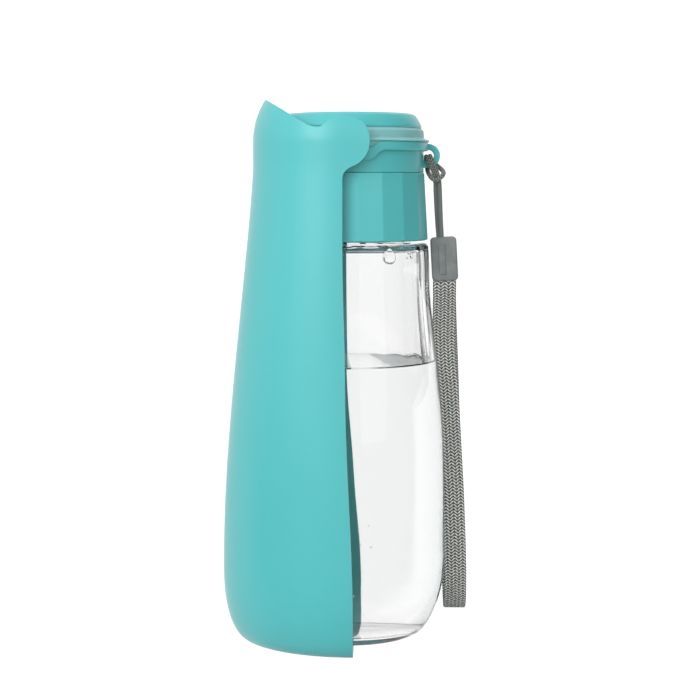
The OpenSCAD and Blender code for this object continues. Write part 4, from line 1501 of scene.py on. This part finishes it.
    def seal(self, palette: Palette) -> Object:
        """Mould the silicone band with its lip, and return it."""
        z = self.flange[1]
        reach = math.degrees(math.acos(self.seal_x / self.seal_r))
        band = lathe("seal_band", rounded([
            (self.groove_r + 0.02, z + 0.02), (self.lip_r, z + 0.1, 0.25), (self.lip_r, z + 0.76, 0.3),
            (29.4, z + 1.4, 0.4), (self.seal_r, z + 1.9, 0.4), (29.05, self.band_z1 - 1.0, 0.6),
            (28.1, self.band_z1 - 0.03, 0.3),
            (self.groove_r + 0.02, self.band_z1 - 0.03)], 4), steps=150, start=-reach, sweep=2 * reach)
        dips = self.tail_band("seal_dips", self.radius + 0.02, 30.25, lambda x: self.flange_top(x) + 0.02,
                                lambda x: z + 0.4, 0.15)
        join(band, dips)
        smooth(band, 35)
        return finish_piece(band, palette.silicone, Body.HEAD, Slot.SILICONE, "trough_seal")

    def cap(self, palette: Palette) -> Object:
        """Mould the dished cap, and return it."""
        z = self.band_z1
        # up the underside of the dish, out over the seal, round the crown and down into the dish
        piece = lathe("dished_cap", rounded([
            (12.7, 196.95, 0.3), (19.4, 200.85, 2.0), (22.6, 203.45, 0.5), (25.3, 203.45, 0.2),
            (25.3, z, 0.1), (28.1, z, 0.25), (28.3, z + 0.7, 0.5), (27.9, z + 1.6, 1.2),
            (27.05, z + 3.2, 2.0),
            (25.9, self.cap_z1 - 0.75, 1.2), (24.4, self.cap_z1, 1.0), (22.5, self.cap_z1, 0.6),
            (22.0, self.cap_z1 - 0.6, 0.4), (20.8, 204.05, 2.5), (12.7, 198.75, 0.4)], 5), steps=180)
        smooth(piece, 35)
        return finish_piece(piece, palette.teal, Body.HEAD, Slot.TEAL, "top_cap")

    def make(self, palette: Palette) -> None:
        """Make the fixed pieces of the head."""
        self.shell(palette)
        self.seal(palette)
        self.cap(palette)


@dataclass
class Valve:
    """The rotary valve: a knob with a finger bar and two ports."""

    disc_r: float = 12.4
    disc_z: Point2 = (195.15, 199.05)
    bar_top: float = 208.45
    bar_l: float = 21.8
    bar_w: float = 4.6
    bar_arch: float = 1.9
    port_r: float = 3.2
    port_at: float = 7.6
    stem_r: float = 2.5
    stem_neck_r: float = 1.9
    # the stem's foot, and the foot and the top of the groove that takes the clip
    stem_z: Point3 = (189.3, 190.0, 190.9)

    def bar(self) -> Object:
        """Return the finger bar, pinched at its middle and rounded on top."""
        rows, columns = 25, 9
        low = self.disc_z[1] - 0.3
        rise = self.bar_top - low

        def spot(row: int, column: int) -> Point3:
            """Place a point of the bar's plan."""
            y = self.bar_l / 2 * (2 * row / (rows - 1) - 1)
            end = min(1.0, (self.bar_l / 2 - abs(y)) / 2.3)
            width = self.bar_w * (0.84 + 0.16 * (2 * y / self.bar_l) ** 2)
            half = width / 2 * math.sqrt(max(1 - (1 - end) ** 2, 0.0))
            return (half * (2 * column / (columns - 1) - 1), y, low)

        piece = sheet_of("finger_bar", rows, columns, spot)
        pull(piece, (0, 0, rise), 0.01)
        for vertex in piece.data.vertices:
            if vertex.co.z > (low + 1) * MM:
                vertex.co.z -= self.bar_arch * (vertex.co.y / MM / (self.bar_l / 2)) ** 2 * MM
        bevel_edges(piece, sharp(50), 0.9, 4)
        return piece

    def make(self, palette: Palette) -> Object:
        """Mould the knob, and return it."""
        z0, z1 = self.disc_z
        foot, groove_z0, groove_z1 = self.stem_z
        piece = lathe("valve_knob_moulding", rounded([
            (0.0, foot), (self.stem_r - 0.4, foot), (self.stem_r, groove_z0, 0.1),
            (self.stem_neck_r, groove_z0, 0.1), (self.stem_neck_r, groove_z1, 0.1),
            (self.stem_r, groove_z1, 0.1), (self.stem_r, z0, 0.1), (self.disc_r, z0, 0.4),
            (self.disc_r, z1, 0.7), (self.disc_r - 2.4, z1, 0.3), (self.disc_r - 2.9, z1 - 0.35, 0.3),
            (0.0, z1 - 0.35)], 4), steps=120)
        for side in (-1, 1):
            drill(piece, (side * self.port_at, 0, (z0 + z1) / 2), self.port_r)
        bevel_edges(piece, lambda e: sharp(50)(e) and self.at_port(e), 0.35, 3)
        join(piece, self.bar())
        smooth(piece, 32)
        return finish_piece(piece, palette.teal, Body.VALVE, Slot.TEAL, "valve_knob")

    def at_port(self, edge: bmesh.types.BMEdge) -> bool:
        """Tell whether an edge is the upper rim of a port."""
        return all(v.co.z > self.disc_z[0] * MM + 0.001
                   and abs(math.hypot(abs(v.co.x) / MM - self.port_at, v.co.y / MM) - self.port_r) < 0.1
                   for v in edge.verts)


# ---------- trough ----------


@dataclass
class Trough:
    """The drinking trough: a half shell that narrows to two hinge ears and rises to a beak."""

    wall: float = 2.0
    pivot: Point2 = (-1.83, 198.75)
    edge_top: float = -2.3
    edge_mid: float = -1.27
    edge_foot: float = 1.7
    top_depth: float = 38.25
    top_half_w: float = 34.8
    foot_depth: float = 51.1
    foot_half_w: float = 42.0
    base_depth: float = 39.9
    base_half_w: float = 30.0
    corner_h: float = 30.0
    base_power: float = 2.3
    # where the free edge starts to bend downwards and upwards, and over what height it does
    edge_low: Point2 = (110.05, 95.05)
    edge_high: Point2 = (105.05, 55.0)
    # the same for the swelling from the head to the foot, and how late it comes
    swell_over: Point2 = (190.05, 165.05)
    swell_power: float = 1.22
    # above this height the beak leans in, by a factor times a power of the rise
    lean_z: float = 199.15
    lean_depth: Point2 = (0.0125, 2.12)
    lean_width: Point2 = (0.05, 1.68)
    ear_r: float = 9.8
    ear_z: float = 184.0
    fillet: float = 5.5
    notch_z: float = 204.3
    notch_x: float = -14.2
    slope: float = 31.4
    tip_z: float = 215.8
    # the rim from the slope's foot over the notch to the ear, above the notch
    notch: Sequence[Point2] = ((-15.2, 0.61), (-13.6, 0.12), (-12.6, 0), (-10.6, 0), (-8.6, 1), (-3.83, 2.2))
    edge_round: float = 0.55
    half_columns: int = 64

    def edge_x(self, z: float) -> float:
        """Return where the free edge is along X, at a height."""
        low = swing((self.edge_low[0] - z) / self.edge_low[1])
        high = swing((z - self.edge_high[0]) / self.edge_high[1])
        return self.edge_mid + (self.edge_foot - self.edge_mid) * low + (self.edge_top - self.edge_mid) * high

    def swell(self, z: float) -> float:
        """Return how far the shell has swollen from its head to its foot, from 0 to 1."""
        share = clip((self.swell_over[0] - z) / self.swell_over[1])
        return math.sin(math.pi / 2 * share ** self.swell_power)

    def lean(self, z: float, amount: Point2) -> float:
        """Return how far the beak leans in at a height, for a factor and a power."""
        return amount[0] * max(z - self.lean_z, 0) ** amount[1]

    def side_depth(self, z: float) -> float:
        """Return the depth of the shell above its corner."""
        lean = self.lean(z, self.lean_depth)
        return self.top_depth + (self.foot_depth - self.top_depth) * self.swell(z) + self.edge_x(z) - lean

    def side_width(self, z: float) -> float:
        """Return the half width of the shell above its corner."""
        lean = self.lean(z, self.lean_width)
        return self.top_half_w + (self.foot_half_w - self.top_half_w) * self.swell(z) - lean

    def depth_and_width(self, z: float) -> Point2:
        """Return the depth and the half width at any height, corner included."""
        depth, width = self.side_depth(z), self.side_width(z)
        if z >= self.corner_h:
            return depth, width
        cosine = (1 - z / self.corner_h) ** (self.base_power / 2)
        grow = math.sqrt(max(1 - min(cosine, 1.0) ** 2, 0)) ** (2 / self.base_power)
        base = self.base_depth + self.edge_foot
        return base + (depth - base) * grow, self.base_half_w + (width - self.base_half_w) * grow

    def end_x(self, z: float) -> float:
        """Return how far the shell reaches along X at a height, its ear and the round below included."""
        plain = self.edge_x(z)
        px, pz = self.pivot
        edge = self.edge_top - 0.15
        dx = edge + self.fillet - px
        reach = self.ear_r + self.fillet
        dz = math.sqrt(reach * reach - dx * dx)
        if z <= pz - dz:
            return plain
        if z <= pz - dz * self.ear_r / reach:
            return max(plain, px + dx - math.sqrt(max(self.fillet ** 2 - (z - pz + dz) ** 2, 0)))
        return max(plain, px + math.sqrt(max(self.ear_r ** 2 - (z - pz) ** 2, 0)))

    def plain_rim(self, x: float) -> float:
        """Return the height of the rim before its corners are softened."""
        px, pz = self.pivot
        rim = self.notch_z + along(self.notch, x)
        if x < self.notch[0][0]:
            rim = self.notch_z + (self.notch_x - x) * math.tan(math.radians(self.slope))
        if abs(x - px) < self.ear_r:
            rim = max(rim, pz + math.sqrt(self.ear_r ** 2 - (x - px) ** 2))
        return min(rim, self.tip_z)

    def rim(self, x: float) -> float:
        """Return the height of the rim, with the corners of the notch softened."""
        if x > self.pivot[0] - 3:
            return self.plain_rim(x)
        return softened(self.plain_rim, x, 0.7)

    def skin_point(self, share: float, z: float, end: float) -> Point3:
        """Return a point of the outer skin.

        Args:
            share: the place across the shell, from -1 at one free edge to 1 at the other.
            z: the height.
            end: how far the shell reaches along X there.

        Returns:
            The point, in millimetres.
        """
        depth, width = self.depth_and_width(z)
        edge = self.edge_x(z)
        quarter = depth * math.pi / 2
        q = abs(share) * (quarter + max(end - edge, 0)) / quarter
        side = 1 if share > 0 else -1
        if q <= 1:
            angle = q * math.pi / 2
            return (edge - depth * math.cos(angle), side * width * math.sin(angle), z)
        return (edge + (q - 1) * quarter, side * width, z)

    def rim_height(self, share: float, corner: Point2) -> float:
        """Return where a column of the skin meets the rim.

        Args:
            share: the place across the shell, from -1 to 1.
            corner: where the ear's free edge turns into the rim, X and Z.

        Returns:
            The height, in millimetres.
        """
        z = corner[1]
        for _ in range(40):
            x = self.skin_point(share, z, corner[0])[0]
            z += 0.6 * (self.rim(x) - z)
        return z

    def heights(self) -> list[float]:
        """Return the level rows of the skin, from the foot up to the middle of the ear."""
        corner = [self.corner_h * (1 - math.cos(math.pi / 2 * i / 20) ** (2 / self.base_power))
                  for i in range(21)]
        corner[-1] = self.corner_h
        side = [self.corner_h + (self.ear_z - self.corner_h) * i / 62 for i in range(1, 63)]
        ear = [self.ear_z + 12.0 * i / 13 for i in range(1, 14)]
        return corner + side + ear

    def skin(self) -> Object:
        """Return the outer skin with its foot closed."""
        levels = self.heights()
        upper = 12
        columns = 2 * self.half_columns + 1
        turn = math.radians(45)
        corner = (self.pivot[0] + self.ear_r * math.cos(turn), self.pivot[1] + self.ear_r * math.sin(turn))
        shares = [j / self.half_columns - 1 for j in range(columns)]
        rims = [self.rim_height(share, corner) for share in shares]

        def spot(row: int, column: int) -> Point3:
            """Place a point of the skin: level rows below, then rows that bend up to the rim."""
            share = shares[column]
            if row < len(levels):
                z = levels[row]
                return self.skin_point(share, z, self.end_x(z))
            t = (row - len(levels) + 1) / upper
            end_z = levels[-1] + (corner[1] - levels[-1]) * t
            z = levels[-1] + (rims[column] - levels[-1]) * t
            return self.skin_point(share, z, self.end_x(end_z))

        piece = sheet_of("drinking_trough", len(levels) + upper, columns, spot)
        edit(piece, select=False)
        mesh = bmesh.from_edit_mesh(piece.data)
        mesh.verts.ensure_lookup_table()
        for vertex in mesh.verts[:columns]:
            vertex.select_set(True)
        mesh.select_flush(True)
        bmesh.update_edit_mesh(piece.data)
        bpy.ops.mesh.edge_face_add()
        face_outwards()
        return piece

    def make(self, palette: Palette) -> Object:
        """Mould the trough, and return it."""
        piece = self.skin()
        middle = piece.data.polygons[len(piece.data.polygons) // 2]
        if middle.normal.dot(Vector((middle.center.x, middle.center.y, 0))) < 0:
            piece.data.flip_normals()
        # a second slot marks the faces of the rim, until the piece is dressed
        for _ in range(2):
            piece.data.materials.append(palette.teal)
        modify(piece, "SOLIDIFY", thickness=self.wall * MM, offset=-1.0, use_even_offset=True,
               material_offset_rim=1)
        bevel_edges(piece, lambda e: sum(f.material_index for f in e.link_faces) == 1, self.edge_round, 3,
                    clamp=False)
        smooth(piece, 50)
        return finish_piece(piece, palette.teal, Body.TROUGH, Slot.TEAL, "trough")


# ---------- the rest of the frame ----------


@dataclass
class SmallParts:
    """Nodes whose plain shape is right: gasket, valve seal, clip, hinge pins and hinge rings."""

    silicone: Sequence[str] = ("mouth_gasket", "valve_seal", "pivot_ring_near", "pivot_ring_far")
    steel: Sequence[str] = ("valve_clip", "pivot_pin_near", "pivot_pin_far")

    def make(self, palette: Palette, nodes: dict[str, Object]) -> None:
        """Dress the small parts."""
        for names, material in ((self.silicone, palette.silicone), (self.steel, palette.steel)):
            for name in names:
                nodes[name].data.materials.clear()
                nodes[name].data.materials.append(material)
                log.info("%s: dressed in %s", name, material.name)


def main() -> None:
    """Build the bottle in order and report each piece."""
    logging.basicConfig(level=logging.INFO, format="%(name)s: %(message)s")
    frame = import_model()
    Studio().set_up()
    palette = Palette.mix()
    Strap().make(palette)
    Bottle().make(palette)
    Collar().make(palette)
    Head().make(palette)
    Valve().make(palette)
    Trough().make(palette)
    SmallParts().make(palette, frame["nodes"])


if __name__ == "__main__":
    main()
